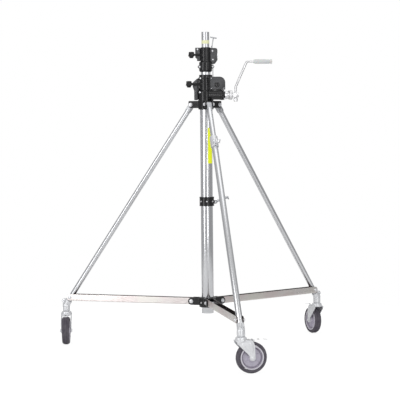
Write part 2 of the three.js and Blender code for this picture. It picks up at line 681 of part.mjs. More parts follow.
function knobAt(name, azimuth, z, from, head, end, radius, stem) {
  const knob = part(name, lobedKnob(from, head, end, radius, stem), blackPlastic);
  return group([knob], { position: [0, 0, z], rotation: [0, Math.PI / 2, rad(azimuth), "ZYX"] });
}

function tHandleAt() {
  const screw = part("t_handle", tHandle(), chrome);
  screw.applyMatrix4(T_HANDLE_PLACE);
  return screw;
}

const column = group([
  part("base_tube", baseTube(), chrome),
  part("winch_body", winchBody(), blackCasting),
  part("winch_cover", winchCover(), satinPlate),
  part("winch_side_plate", winchSidePlate(), satinPlate),
  part("worm_end_cap", wormEndCap(), blackCasting),
  part("mid_collar", midCollar(), blackCasting),
  part("latch_lever", latchLever(), zinc),
  part("lower_hub", lowerHub(), blackCasting),
  knobAt("base_lock_knob", 196, 1110, WINCH.high + 1, 68, 88, 14.5, 5),
]);

const winchTrain = group([
  part("worm_shaft", wormShaft(), steel),
  part("worm_wheel", wormWheel(), bronze),
  part("cable_drum", cableDrum(), steel),
  part("crank_hub", crankHub(), chrome),
  part("crank_arm", crankArm(), chrome),
  part("crank_lock_knob", crankLockKnob(), chrome),
  part("crank_grip", crankGrip(), gripPlastic),
]);

const risers = group([
  part("lower_riser_tube", riserTube(LOWER_RISER), chrome),
  part(
    "lower_riser_bush",
    slidingBush(BASE.radius - BASE.wall, LOWER_RISER.radius, BUSH.lowerBottom),
    nylon,
  ),
  part("riser_collar", riserCollar(), blackCasting),
  part("riser_side_plate", riserSidePlate(), satinPlate),
  part("pulley_cover", pulleyCover(), satinPlate),
  part("cable_pulley", cablePulley(), steel),
  part("riser_cable", riserCable(), steel),
  part("upper_riser_tube", riserTube(UPPER_RISER), chrome),
  part(
    "upper_riser_bush",
    slidingBush(LOWER_RISER.radius - LOWER_RISER.wall, UPPER_RISER.radius, BUSH.upperBottom),
    nylon,
  ),
  knobAt("riser_lock_knob", 200, 1231, COLLAR.high + 1, 58, 78, 14, 4.5),
  tHandleAt(),
]);

const stand = new THREE.Group();
stand.add(column, winchTrain, risers, ...Object.keys(AZIMUTH).map(leg));

const footprint = new THREE.Box3().setFromObject(stand, true).getCenter(new THREE.Vector3());
stand.position.set(-footprint.x, -footprint.y, 0);

export default stand;
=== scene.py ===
"""A crank lighting stand: the looks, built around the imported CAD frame. Sizes are in millimetres."""
import math

import bmesh
import bpy
from mathutils import Matrix, Vector


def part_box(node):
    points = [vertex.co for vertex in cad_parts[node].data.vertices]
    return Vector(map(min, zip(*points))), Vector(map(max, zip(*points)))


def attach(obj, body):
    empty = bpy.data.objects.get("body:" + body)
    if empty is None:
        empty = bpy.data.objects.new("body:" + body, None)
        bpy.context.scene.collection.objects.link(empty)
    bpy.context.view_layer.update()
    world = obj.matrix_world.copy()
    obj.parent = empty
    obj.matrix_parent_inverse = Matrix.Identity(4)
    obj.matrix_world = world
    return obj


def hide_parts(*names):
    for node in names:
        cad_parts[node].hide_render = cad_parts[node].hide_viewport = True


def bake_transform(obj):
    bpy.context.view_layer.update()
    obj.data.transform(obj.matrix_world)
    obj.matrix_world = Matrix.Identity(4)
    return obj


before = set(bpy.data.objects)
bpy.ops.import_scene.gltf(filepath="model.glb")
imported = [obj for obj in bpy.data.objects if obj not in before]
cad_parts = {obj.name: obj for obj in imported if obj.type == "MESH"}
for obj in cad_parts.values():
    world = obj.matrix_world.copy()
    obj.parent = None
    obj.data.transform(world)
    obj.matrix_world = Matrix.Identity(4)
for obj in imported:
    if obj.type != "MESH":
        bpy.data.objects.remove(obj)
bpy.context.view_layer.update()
tube_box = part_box("base_tube")
# Everything is drawn about the column's axis, then moved to where the frame has that axis.
COLUMN = Matrix.Translation([(tube_box[0][i] + tube_box[1][i]) / 2 if i < 2 else 0.0 for i in range(3)])

# ------------------------------------------------------------------ driving dimensions
MM = 0.001
ROUND = 96  # facets round a large tube
FINE = 48
SMALL = 24
GAP = 0.35

AZIMUTH = {"front": -90.0, "right": 30.0, "left": 150.0}
HEADING = {"front": 5.0, "right": 102.0, "left": -99.0}
SIDES = tuple(AZIMUTH)

BASE_TUBE = dict(outer=25.0, inner=23.0, bottom=152.0, top=1061.5)
LOWER_RISER = dict(outer=20.0, inner=18.2, bottom=176.0, top=1197.0)
UPPER_RISER = dict(outer=16.0, inner=14.3, bottom=196.0, top=1327.0)
BAND = dict(bottom=1278.0, top=1292.0, thickness=0.25)
LABEL = dict(bottom=780.0, top=928.0, start=-85.0, end=-34.0, thickness=0.3)

HUB_PIVOT = (66.0, 201.0)
LEG_TOP = (62.0, 1025.0)
LEG_FOOT = (628.0, 201.0)
LEG_LENGTH = math.hypot(LEG_FOOT[0] - LEG_TOP[0], LEG_TOP[1] - LEG_FOOT[1])
LEG_LEAN = math.atan2(LEG_FOOT[0] - LEG_TOP[0], LEG_TOP[1] - LEG_FOOT[1])
LEG_TUBE = dict(outer=11.0, inner=9.5, below=42.0)
OUTER_TUBE = dict(outer=12.5, inner=11.35, start=168.0)
INNER_TUBE_LENGTH = 420.0
CLAMP = dict(start=164.0, end=214.0, radius=16.3, screw=24.0)
TONGUE = dict(half=10.0, radius=10.5, slot=6.0, lean=39.0)

PIN = 4.0
CHEEK = (12.2, 17.2)
CHANNEL = dict(width=30.0, height=28.0, wall=2.0, overhang=12.0, web_gap=22.0)
HUB = dict(radius=35.5, bottom=177.5, top=217.5, lug=15.2, inner=15.8, outer=20.2)
MID_COLLAR = dict(bottom=602.0, top=640.0, radius=31.0)
LATCH = (37.0, 618.0)

WINCH = dict(bottom=1005.0, step=1083.0, shoulder=1132.0, top=1149.0, low=31.7, high=26.0, ring=27.5)
GEAR_Y, WORM_Z = -34.0, 1064.0
AXLE = (38.0, 1105.5)
GEAR_CASE = dict(left=8.0, right=74.0, bottom=1086.0, top=1140.0, front=-43.3, corner=24.0)
CRANK_THROW = 139.0
COLLAR = dict(bottom=1161.0, step=1203.0, top=1263.0, low=27.0, high=21.0)
PULLEY_CASE = dict(left=16.0, right=50.0, bottom=1194.0, top=1261.0)
CABLE = dict(x=31.0, radius=1.5, bottom=1141.0, top=1227.0)

CASTER_R = 650.0
WHEEL = dict(radius=60.0, half=16.0, trail=40.0)
CROWN_Z, SWIVEL_Z = 128.0, 140.0


# ------------------------------------------------------------------ outlines
def rounded(points, radius, steps=4, closed=True):
    """An outline with each corner replaced by an arc. A point's third value is its own radius."""
    made = []
    count = len(points)
    for i, point in enumerate(points):
        here = Vector(point[:2])
        own = point[2] if len(point) > 2 else radius
        if own <= 0 or (not closed and i in (0, count - 1)):
            made.append(tuple(here))
            continue
        before = Vector(points[i - 1][:2]) - here
        after = Vector(points[(i + 1) % count][:2]) - here
        turn = before.angle(after)
        reach = min(own / max(math.tan(turn / 2), 1e-6), 0.48 * before.length, 0.48 * after.length)
        start, end = here + before.normalized() * reach, here + after.normalized() * reach
        for k in range(steps + 1):
            t = k / steps
            made.append(tuple(start * (1 - t) ** 2 + here * 2 * t * (1 - t) + end * t * t))
    return made


def arc(centre, radius, start, end, steps=10):
    """Points on an arc, by angles in degrees."""
    turns = [math.radians(start + (end - start) * k / steps) for k in range(steps + 1)]
    return [(centre[0] + radius * math.cos(t), centre[1] + radius * math.sin(t)) for t in turns]


def link(start, end, radius, steps=12):
    """A bar's outline with round ends."""
    lean = math.degrees(math.atan2(end[1] - start[1], end[0] - start[0]))
    return arc(end, radius, lean - 90, lean + 90, steps) + arc(start, radius, lean + 90, lean + 270, steps)


# ------------------------------------------------------------------ solids
AXES = {
    "Z": Matrix.Identity(4),
    "X": Matrix(((0, 0, 1, 0), (1, 0, 0, 0), (0, 1, 0, 0), (0, 0, 0, 1))),
    "Y": Matrix(((1, 0, 0, 0), (0, 0, 1, 0), (0, 1, 0, 0), (0, 0, 0, 1))),
}


def solid_from(vertices, faces):
    """A mesh object with its faces pointing out."""
    mesh = bpy.data.meshes.new("solid")
    mesh.from_pydata([tuple(v) for v in vertices], [], faces)
    work = bmesh.new()
    work.from_mesh(mesh)
    bmesh.ops.remove_doubles(work, verts=work.verts, dist=1e-4)
    bmesh.ops.recalc_face_normals(work, faces=work.faces)
    work.to_mesh(mesh)
    work.free()
    made = bpy.data.objects.new("solid", mesh)
    bpy.context.scene.collection.objects.link(made)
    return made


def turned(outline, axis="Z", at=(0.0, 0.0, 0.0), facets=FINE):
    """A body of revolution from (radius, height) points: it closes on the axis or on itself."""
    on_axis = outline[0][0] < 1e-6 and outline[-1][0] < 1e-6
    vertices, faces = [], []
    for i in range(facets):
        turn = 2 * math.pi * i / facets
        vertices += [(r * math.cos(turn), r * math.sin(turn), z) for r, z in outline]
    count = len(outline)
    spans = count - 1 if on_axis else count
    for i in range(facets):
        a, b = i * count, (i + 1) % facets * count
        for k in range(spans):
            m = (k + 1) % count
            corners = [a + k, b + k, b + m, a + m]
            if outline[k][0] < 1e-6:
                corners = [a + k, b + m, a + m]
            elif outline[m][0] < 1e-6:
                corners = [a + k, b + k, a + m]
            faces.append(corners)
    made = solid_from([AXES[axis] @ Vector(v) + Vector(at) for v in vertices], faces)
    return made


def lathed(points, edge, steps=4, axis="Z", at=(0.0, 0.0, 0.0), facets=FINE):
    """A solid of revolution from a profile that starts and ends on the axis, with rounded corners."""
    return turned(rounded(points, edge, steps, False), axis, at, facets)


def rod(radius, low, high, axis="Z", at=(0.0, 0.0, 0.0), edge=0.0, facets=FINE):
    """A round bar with rounded rims."""
    return lathed([(0, low, 0), (radius, low), (radius, high), (0, high, 0)], edge, 3, axis, at, facets)


def pipe(outer, inner, low, high, edge=0.4, facets=ROUND):
    return turned(rounded([(inner, low), (outer, low), (outer, high), (inner, high)], edge, 2), facets=facets)


def prism(outline, low, high, axis="Y", edge=0.0):
    """A plate with this outline, along an axis: (x, z) for Y, (x, y) for Z, (y, z) for X."""
    count = len(outline)
    vertices = [AXES[axis] @ Vector((x, y, h)) for h in (low, high) for x, y in outline]
    faces = [list(range(count)), list(range(2 * count - 1, count - 1, -1))]
    faces += [[k, count + k, count + (k + 1) % count, (k + 1) % count] for k in range(count)]
    made = solid_from(vertices, faces)
    return softened(made, edge) if edge else made


def block(x0, x1, y0, y1, z0, z1, edge=0.0):
    return prism([(x0, z0), (x1, z0), (x1, z1), (x0, z1)], y0, y1, "Y", edge)


def swept(points, radius, facets=SMALL, closed_ends=True):
    """A round bar that follows a smooth path of (x, y, z) points."""
    path = [Vector(p) for p in points]
    for _ in range(3):
        finer = [path[0]]
        for a, b in zip(path, path[1:]):
            finer += [a.lerp(b, 0.25), a.lerp(b, 0.75)]
        path = finer + [path[-1]]
    rings, side = [], Vector((0, 1, 0))
    for i, here in enumerate(path):
        along = (path[min(i + 1, len(path) - 1)] - path[max(i - 1, 0)]).normalized()
        up = along.cross(side).normalized()
        turns = [2 * math.pi * k / facets for k in range(facets)]
        rings.append([here + side * radius * math.cos(t) + up * radius * math.sin(t) for t in turns])
    vertices = [v for ring in rings for v in ring]
    faces = [list(range(facets)), list(range(len(vertices) - 1, len(vertices) - facets - 1, -1))]
    for i in range(len(rings) - 1):
        for k in range(facets):
            a, b = i * facets + k, i * facets + (k + 1) % facets
            faces.append([a, b, b + facets, a + facets])
    return solid_from(vertices, faces)


def baked(solid):
    """The solid with its modifiers applied."""
    bpy.context.view_layer.update()
    graph = bpy.context.evaluated_depsgraph_get()
    mesh = bpy.data.meshes.new_from_object(solid.evaluated_get(graph))
    solid.modifiers.clear()
    solid.data = mesh
    return solid


def softened(solid, width, angle=40.0, segments=2):
    """Sharp edges rounded by a small width."""
    bevel = solid.modifiers.new("soft", "BEVEL")
    bevel.width = width
    bevel.segments = segments
    bevel.limit_method = "ANGLE"
    bevel.angle_limit = math.radians(angle)
    return baked(solid)


def combined(base, others, operation):
    for other in others:
        step = base.modifiers.new("combine", "BOOLEAN")
        step.operation = operation
        step.object = other
        step.solver = "EXACT"
    baked(base)
    for other in others:
        bpy.data.objects.remove(other)
    return base


def fused(base, *others):
    return combined(base, others, "UNION")


def carved(base, *others):
    return combined(base, others, "DIFFERENCE")


def moved(solid, matrix):
    solid.data.transform(matrix)
    return solid


def turned_about(solid, degrees, axis="Z"):
    return moved(solid, Matrix.Rotation(math.radians(degrees), 4, axis))


def cast(solids, cutters=(), voxel=1.0, smoothing=5, share=0.35):
    """Solids run together and bored, with the small fillets of a casting, then thinned out."""
    base = joined(solids)
    remesh = base.modifiers.new("remesh", "REMESH")
    remesh.mode = "VOXEL"
    remesh.voxel_size = voxel
    baked(base)
    if cutters:
        carved(base, *cutters)
    smooth = base.modifiers.new("smooth", "SMOOTH")
    smooth.iterations = smoothing
    smooth.factor = 0.5
    thin = base.modifiers.new("thin", "DECIMATE")
    thin.ratio = share
    return baked(base)


def shaded(solid, angle=38.0):
    """Smooth shading, with real corners kept crisp."""
    work = bmesh.new()
    work.from_mesh(solid.data)
    for face in work.faces:
        face.smooth = True
    for edge in work.edges:
        sharp = len(edge.link_faces) != 2 or edge.calc_face_angle(0.0) > math.radians(angle)
        edge.smooth = not sharp
    work.to_mesh(solid.data)
    work.free()
    return solid


def piece(name, solid, body, look, replaces=(), place=Matrix.Identity(4), crisp=38.0):
    """A finished piece of the object: its drawn coordinates stay as an attribute for its material.

    A look is a material slot of the record, which is not used here, and the material that dresses it.
    """
    slot, material = look
    shaded(solid, crisp)
    drawn = solid.data.attributes.new("drawn", "FLOAT_VECTOR", "POINT")
    drawn.data.foreach_set("vector", [c * MM for v in solid.data.vertices for c in v.co])
    solid.data.transform(COLUMN @ Matrix.Scale(MM, 4) @ place)
    solid.name = name
    solid.data.name = name
    solid.data.materials.clear()
    solid.data.materials.append(material)
    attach(solid, body)
    if replaces:
        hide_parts(*replaces)
    return solid


# ------------------------------------------------------------------ materials
def set_stops(ramp, stops):
    """A colour ramp's stops, as (position, colour)."""
    elements = ramp.color_ramp.elements
    while len(elements) < len(stops):
        elements.new(0.5)
    for element, (position, color) in zip(elements, stops):
        element.position = position
        element.color = (*color, 1.0)


class Shader:
    """A principled material with small helpers for procedural detail."""

    def __init__(self, name, color, metallic, roughness, coords="drawn"):
        self.material = bpy.data.materials.new(name)
        self.material.use_nodes = True
        self.material.diffuse_color = (*color, 1.0)
        self.nodes = self.material.node_tree.nodes
        self.wire = self.material.node_tree.links.new
        self.shader = self.nodes["Principled BSDF"]
        self.set("Base Color", (*color, 1.0))
        self.set("Metallic", metallic)
        self.set("Roughness", roughness)
        self.color = color
        self.roughness = roughness
        if coords == "drawn":
            attribute = self.nodes.new("ShaderNodeAttribute")
            attribute.attribute_name = "drawn"
            self.coords = attribute.outputs["Vector"]
        else:
            self.coords = self.nodes.new("ShaderNodeTexCoord").outputs["Object"]
        self.height = None

    def set(self, name, value):
        self.shader.inputs[name].default_value = value

    def noise(self, scale, detail=3.0, stretch=(1.0, 1.0, 1.0)):
        """Noise in the piece's own coordinates, scale in features per metre."""
        mapping = self.nodes.new("ShaderNodeMapping")
        mapping.inputs["Scale"].default_value = stretch
        texture = self.nodes.new("ShaderNodeTexNoise")
        texture.inputs["Scale"].default_value = scale
        texture.inputs["Detail"].default_value = detail
        self.wire(self.coords, mapping.inputs["Vector"])
        self.wire(mapping.outputs["Vector"], texture.inputs["Vector"])
        return texture.outputs["Fac"]

    def ramp(self, source, low, high, start=0.35, end=0.65):
        """A value from low to high as source goes from start to end."""
        node = self.nodes.new("ShaderNodeMapRange")
        for name, value in (("From Min", start), ("From Max", end), ("To Min", low), ("To Max", high)):
            node.inputs[name].default_value = value
        self.wire(source, node.inputs["Value"])
        return node.outputs["Result"]

    def blend_color(self, source, other, start=0.4, end=0.7, amount=1.0):
        """The base colour runs to another colour where source is high."""
        mix = self.nodes.new("ShaderNodeMix")
        mix.data_type = "RGBA"
        current = self.shader.inputs["Base Color"]
        if current.is_linked:
            self.wire(current.links[0].from_socket, mix.inputs["A"])
        else:
            mix.inputs["A"].default_value = current.default_value
        mix.inputs["B"].default_value = (*other, 1.0)
        self.wire(self.ramp(source, 0.0, amount, start, end), mix.inputs["Factor"])
        self.wire(mix.outputs["Result"], current)

    def vary_roughness(self, source, low, high, start=0.3, end=0.7):
        self.wire(self.ramp(source, low, high, start, end), self.shader.inputs["Roughness"])

    def bump(self, source, depth_mm, strength=1.0):
        node = self.nodes.new("ShaderNodeBump")
        node.inputs["Distance"].default_value = depth_mm * MM
        node.inputs["Strength"].default_value = strength
        self.wire(source, node.inputs["Height"])
        if self.height is not None:
            self.wire(self.height, node.inputs["Normal"])
        self.height = node.outputs["Normal"]
        self.wire(self.height, self.shader.inputs["Normal"])

    def bands(self, source, stops):
        """The base colour set by source, as (value, colour) stops."""
        node = self.nodes.new("ShaderNodeValToRGB")
        set_stops(node, stops)
        self.wire(source, node.inputs["Fac"])
        self.wire(node.outputs["Color"], self.shader.inputs["Base Color"])

    def distance_from(self, centre, spread=(1.0, 1.0, 1.0)):
        """How far a point lies from a centre, in metres, with each axis weighted."""
        shift = self.nodes.new("ShaderNodeVectorMath")
        shift.operation = "SUBTRACT"
        shift.inputs[1].default_value = centre
        weigh = self.nodes.new("ShaderNodeVectorMath")
        weigh.operation = "MULTIPLY"
        weigh.inputs[1].default_value = spread
        length = self.nodes.new("ShaderNodeVectorMath")
        length.operation = "LENGTH"
        self.wire(self.coords, shift.inputs[0])
        self.wire(shift.outputs["Vector"], weigh.inputs[0])
        self.wire(weigh.outputs["Vector"], length.inputs[0])
        return length.outputs["Value"]

    def edges(self):
        """High on convex edges of a dense mesh."""
        return self.nodes.new("ShaderNodeNewGeometry").outputs["Pointiness"]


def chrome(name, color, roughness):
    """Drawn tube with bright plating: faint lengthwise waves and patches of handling haze."""
    s = Shader(name, color, 1.0, roughness)
    s.blend_color(s.noise(14.0, 4.0), tuple(0.93 * c for c in color), 0.45, 0.7, 0.6)
    s.vary_roughness(s.noise(12.0, 4.0, (1, 1, 0.25)), 0.85 * roughness, 1.3 * roughness)
    s.bump(s.noise(60.0, 1.0, (1, 1, 0.2)), 0.02, 0.3)
    return s.material


def black_paint():
    """Glossy stove paint on a die casting: orange peel, a faint dusty mottle and rubbed edges."""
    s = Shader("black_paint", (0.005, 0.005, 0.006), 0.0, 0.2)
    s.set("Specular IOR Level", 0.6)
    s.blend_color(s.noise(60.0, 5.0), (0.010, 0.010, 0.012), 0.45, 0.75)
    s.blend_color(s.edges(), (0.10, 0.10, 0.105), 0.54, 0.62, 0.7)
    s.vary_roughness(s.noise(180.0, 4.0), 0.16, 0.27)
    s.bump(s.noise(520.0, 2.0), 0.02, 0.2)
    return s.material


def satin_plate():
    """Grit-blasted grey cover: a fine sparkle and slightly polished patches."""
    s = Shader("satin_plate", (0.085, 0.086, 0.09), 0.75, 0.45)
    s.blend_color(s.noise(1200.0, 2.0), (0.14, 0.142, 0.146), 0.4, 0.7)
    s.vary_roughness(s.noise(90.0, 5.0), 0.34, 0.52)
    s.bump(s.noise(1500.0, 2.0), 0.03, 0.6)
    return s.material


def channel_steel():
    """Rolled and plated channel: lengthwise lines and warm tints, with painted shade inside the channel."""
    s = Shader("channel_steel", (0.84, 0.80, 0.78), 0.9, 0.32)
    s.blend_color(s.noise(9.0, 3.0, (1, 4, 4)), (0.82, 0.72, 0.71), 0.42, 0.62, 0.8)
    s.blend_color(s.noise(6.0, 2.0), (0.86, 0.86, 0.78), 0.5, 0.7, 0.7)
    # Painted shade: the inside of the channel, between its flanges and above its web, is darkened.
    centre = (0.0, 0.0, CHANNEL["height"] * MM)
    reach = (CHANNEL["height"] + CHANNEL["height"] / 2 - CHANNEL["wall"] / 2) * MM
    across = CHANNEL["width"] / 2 - CHANNEL["wall"] / 2
    inside = s.distance_from((0.0, 0.0, 0.0), (0.0, 1.0, 0.0))
    raised = s.distance_from(centre, (0.0, 0.0, 1.0))
    painted_shade_mask = s.nodes.new("ShaderNodeMath")
    painted_shade_mask.operation = "MULTIPLY"
    s.wire(s.ramp(inside, 1.0, 0.0, across * MM - 0.0002, across * MM), painted_shade_mask.inputs[0])
    s.wire(s.ramp(raised, 1.0, 0.0, reach - 0.0002, reach), painted_shade_mask.inputs[1])
    s.blend_color(painted_shade_mask.outputs["Value"], (0.10, 0.075, 0.075), 0.4, 0.6)
    s.vary_roughness(s.noise(40.0, 5.0, (0.08, 1, 1)), 0.22, 0.4)
    s.bump(s.noise(700.0, 3.0, (0.015, 1, 1)), 0.03, 0.6)
    return s.material


def zinc_plate(name="zinc_plate", coords="drawn"):
    """Bright zinc: a soft mottle and small scuffs."""
    s = Shader(name, (0.90, 0.91, 0.93), 0.65, 0.34, coords)
    s.blend_color(s.noise(120.0, 4.0), (0.80, 0.81, 0.84), 0.45, 0.75, 0.7)
    s.vary_roughness(s.noise(260.0, 4.0), 0.26, 0.44)
    s.bump(s.noise(1100.0, 2.0), 0.02, 0.4)
    return s.material


def grip_plastic():
    s = Shader("grip_plastic", (0.80, 0.80, 0.79), 0.0, 0.42)
    s.set("Subsurface Weight", 0.08)
    s.blend_color(s.noise(40.0, 4.0), (0.70, 0.70, 0.69), 0.5, 0.75, 0.7)
    s.vary_roughness(s.noise(150.0, 4.0), 0.34, 0.52)
    s.bump(s.noise(1400.0, 2.0), 0.02, 0.5)
    return s.material


def black_plastic(name="black_plastic", coords="drawn"):
    s = Shader(name, (0.014, 0.014, 0.015), 0.0, 0.5, coords)
    s.blend_color(s.noise(80.0, 4.0), (0.03, 0.03, 0.03), 0.5, 0.75)
    s.vary_roughness(s.noise(200.0, 3.0), 0.4, 0.6)
    s.bump(s.noise(1800.0, 2.0), 0.03, 0.6)
    return s.material


def wheel_plastic():
    """Moulded grey-lavender polymer with a fine matt grain, with painted rings of highlight and shade."""
    s = Shader("wheel_plastic", (0.52, 0.49, 0.58), 0.0, 0.42)
    # Rings by radius: the light lip colour is a painted highlight on the hub and the rim's raised lip; the
    # dark groove colour is painted shade on the rim's inner wall and at its edge next to the tyre.
    face, groove, lip = (0.56, 0.53, 0.62), (0.30, 0.27, 0.34), (0.74, 0.72, 0.78)
    radius = s.distance_from((WHEEL["trail"] * MM, 0.0, WHEEL["radius"] * MM), (10.0, 0.0, 10.0))
    s.bands(radius, ((0.0, lip), (0.11, lip), (0.15, face), (0.33, face), (0.36, groove), (0.395, groove),
                     (0.42, lip), (0.455, lip), (0.47, groove)))
    s.blend_color(s.noise(35.0, 4.0), (0.50, 0.47, 0.55), 0.5, 0.8, 0.5)
    s.vary_roughness(s.noise(160.0, 4.0), 0.34, 0.52)
    s.bump(s.noise(1600.0, 2.0), 0.025, 0.5)
    return s.material


def tyre_rubber():
    """Grey-purple rubber: a dusty, scuffed surface with a lighter mottle and fine darker specks."""
    s = Shader("tyre_rubber", (0.085, 0.075, 0.098), 0.0, 0.62)
    s.blend_color(s.noise(45.0, 6.0), (0.13, 0.12, 0.14), 0.4, 0.7)
    s.blend_color(s.noise(500.0, 4.0), (0.055, 0.05, 0.065), 0.5, 0.75, 0.6)
    s.vary_roughness(s.noise(120.0, 5.0), 0.5, 0.75)
    s.bump(s.noise(1300.0, 4.0), 0.06, 0.7)
    return s.material


def film(name, color, painted_glow):
    """A printed plastic film: faint wrinkles, a soft sheen and a painted glow of its own colour."""
    s = Shader(name, color, 0.0, 0.38)
    # Painted glow: the film emits its own colour though it is no lamp.
    s.set("Emission Color", (*color, 1.0))
    s.set("Emission Strength", painted_glow)
    s.blend_color(s.noise(60.0, 4.0), tuple(0.9 * c for c in color), 0.5, 0.75)
    s.vary_roughness(s.noise(90.0, 4.0), 0.3, 0.48)
    s.bump(s.noise(220.0, 3.0), 0.03, 0.5)
    return s.material


def inner_metal(name, color, roughness):
    """Machined pieces inside the housings, which keep their CAD shape."""
    s = Shader(name, color, 1.0, roughness, "object")
    s.blend_color(s.noise(200.0, 4.0), tuple(0.75 * c for c in color), 0.5, 0.75)
    s.vary_roughness(s.noise(300.0, 4.0), 0.8 * roughness, 1.3 * roughness)
    s.bump(s.noise(900.0, 2.0), 0.01, 0.4)
    return s.material


CHROME = ("chrome_tube", chrome("chrome", (0.84, 0.85, 0.87), 0.2))
FITTING = ("chrome_fitting", chrome("chrome_fitting", (0.93, 0.93, 0.94), 0.26))
DULL_CHROME = chrome("dull_chrome", (0.52, 0.53, 0.55), 0.34)
BLACK = ("black_casting", black_paint())
SATIN = ("satin_plate", satin_plate())
CHANNEL_STEEL = ("channel_steel", channel_steel())
ZINC = ("zinc_plate", zinc_plate())
GRIP = ("grip_plastic", grip_plastic())
KNOB = ("black_plastic", black_plastic())
WHEEL_PLASTIC = ("wheel_plastic", wheel_plastic())
TYRE = ("tyre_rubber", tyre_rubber())
YELLOW = ("label_yellow", film("yellow_film", (0.86, 0.93, 0.02), 0.25))
PALE_YELLOW = ("label_yellow", film("pale_yellow_film", (0.93, 0.94, 0.58), 0.1))


# ------------------------------------------------------------------ places
def out_along(side):
    return Matrix.Rotation(math.radians(AZIMUTH[side]), 4, "Z")


def leg_place(side):
    foot = Matrix.Translation((LEG_FOOT[0], 0, LEG_FOOT[1]))
    return out_along(side) @ foot @ Matrix.Rotation(-LEG_LEAN, 4, "Y")


def caster_place(side):
    swivel = Matrix.Translation((CASTER_R, 0, 0))
    turn = Matrix.Rotation(math.radians(HEADING[side] - AZIMUTH[side]), 4, "Z")
    return out_along(side) @ swivel @ turn


# ------------------------------------------------------------------ fasteners
def hex_bolt(half, head=7.0, shank=PIN):
    """A pivot bolt along Y, with a domed hexagon head at one end and a nut at the other."""
    reach = half + 0.4
    bar = rod(shank, -reach - 6.2, reach + 1, "Y", edge=0.5, facets=SMALL)
    bolt_head = prism(arc((0, 0), head, 0, 300, 5), reach + 0.9, reach + 4.6, "Y", 0.5)
    dome = lathed([(0, reach + 4, 0), (5.6, reach + 4), (5.2, reach + 5.3, 1.2), (0, reach + 5.6, 0)],
                  0.3, 3, "Y", facets=SMALL)
    washer = rod(head + 1.4, reach, reach + 1.1, "Y", edge=0.25, facets=32)
    nut = prism(arc((0, 0), head - 0.5, 0, 300, 5), -reach - 5, -reach - 0.9, "Y", 0.5)
    back_washer = rod(head + 1.2, -reach - 1.1, -reach, "Y", edge=0.25, facets=32)
    return fused(bar, bolt_head, dome, washer, nut, back_washer)


def cap_screw(x, z, y, radius=3.2, depth=2.6, outward=-1):
    """A pan-head screw that faces along Y."""
    profile = [(0, 0, 0), (radius, 0), (radius, depth * 0.6, 1.2), (radius * 0.55, depth), (0, depth, 0)]
    head = lathed(profile, 0.3, 3, "Y", facets=SMALL)
    slot = block(-0.45, 0.45, depth - 0.8, depth + 1, -radius, radius)
    carved(head, slot)
    if outward < 0:
        turned_about(head, 180, "Z")
    return moved(head, Matrix.Translation((x, y, z)))


def joined(solids):
    """Separate solids kept in one piece, such as a set of like screws."""
    base = solids[0]
    work = bmesh.new()
    for solid in solids:
        work.from_mesh(solid.data)
    work.to_mesh(base.data)
    work.free()
    for solid in solids[1:]:
        bpy.data.objects.remove(solid)
    return base


# ------------------------------------------------------------------ column
def column_tubes():
    tubes = (
        ("column_base_tube", BASE_TUBE, "column", "base_tube"),
        ("column_lower_riser", LOWER_RISER, "lower_riser", "lower_riser_tube"),
        ("column_upper_riser", UPPER_RISER, "upper_riser", "upper_riser_tube"),
    )
    for name, size, body, node in tubes:
        solid = pipe(size["outer"], size["inner"], size["bottom"], size["top"])
        piece(name, solid, body, CHROME, [node])


def curved_film(radius, thickness, low, high, start, end, steps=32):
    """A thin film wrapped round the column between two azimuths."""
    outline = arc((0, 0), radius + thickness, start, end, steps) + arc((0, 0), radius, end, start, steps)
    return prism(outline, low, high, "Z")


def films():
    label = curved_film(BASE_TUBE["outer"] + 0.03, LABEL["thickness"], LABEL["bottom"], LABEL["top"],
                        LABEL["start"], LABEL["end"])
    piece("column_label", label, "column", YELLOW)
    outer = UPPER_RISER["outer"] + 0.03
    band = pipe(outer + BAND["thickness"], outer, BAND["bottom"], BAND["top"], 0.05)
    piece("riser_band", band, "upper_riser", PALE_YELLOW)


def leg_bracket(azimuth):
    """Two cheeks that hold one leg's top bolt, joined by a block at the barrel."""
    shape = rounded([(22, 1011.5), (66, 1011.5, 7), (71.5, 1020, 5), (71.5, 1041, 4), (22, 1041)], 0.5, 6)
    made = []
    for low, high in ((CHEEK[0], CHEEK[1]), (-CHEEK[1], -CHEEK[0])):
        made.append(prism(shape, low, high, "Y"))
    made.append(block(22, 36, -CHEEK[1], CHEEK[1], 1014, 1040))
    return [turned_about(solid, azimuth) for solid in made]


def gear_case_outline(inset=0.0):
    left, right = GEAR_CASE["left"] + inset, GEAR_CASE["right"] - inset
    bottom, top = GEAR_CASE["bottom"] + inset, GEAR_CASE["top"] - inset
    corner = GEAR_CASE["corner"] - inset
    turn = arc((right - corner, top - corner), corner, 0, 90, 14)
    return rounded([(left, top, 2), (left, bottom, 2), (right, bottom, 3)], 2, 4, False) + turn


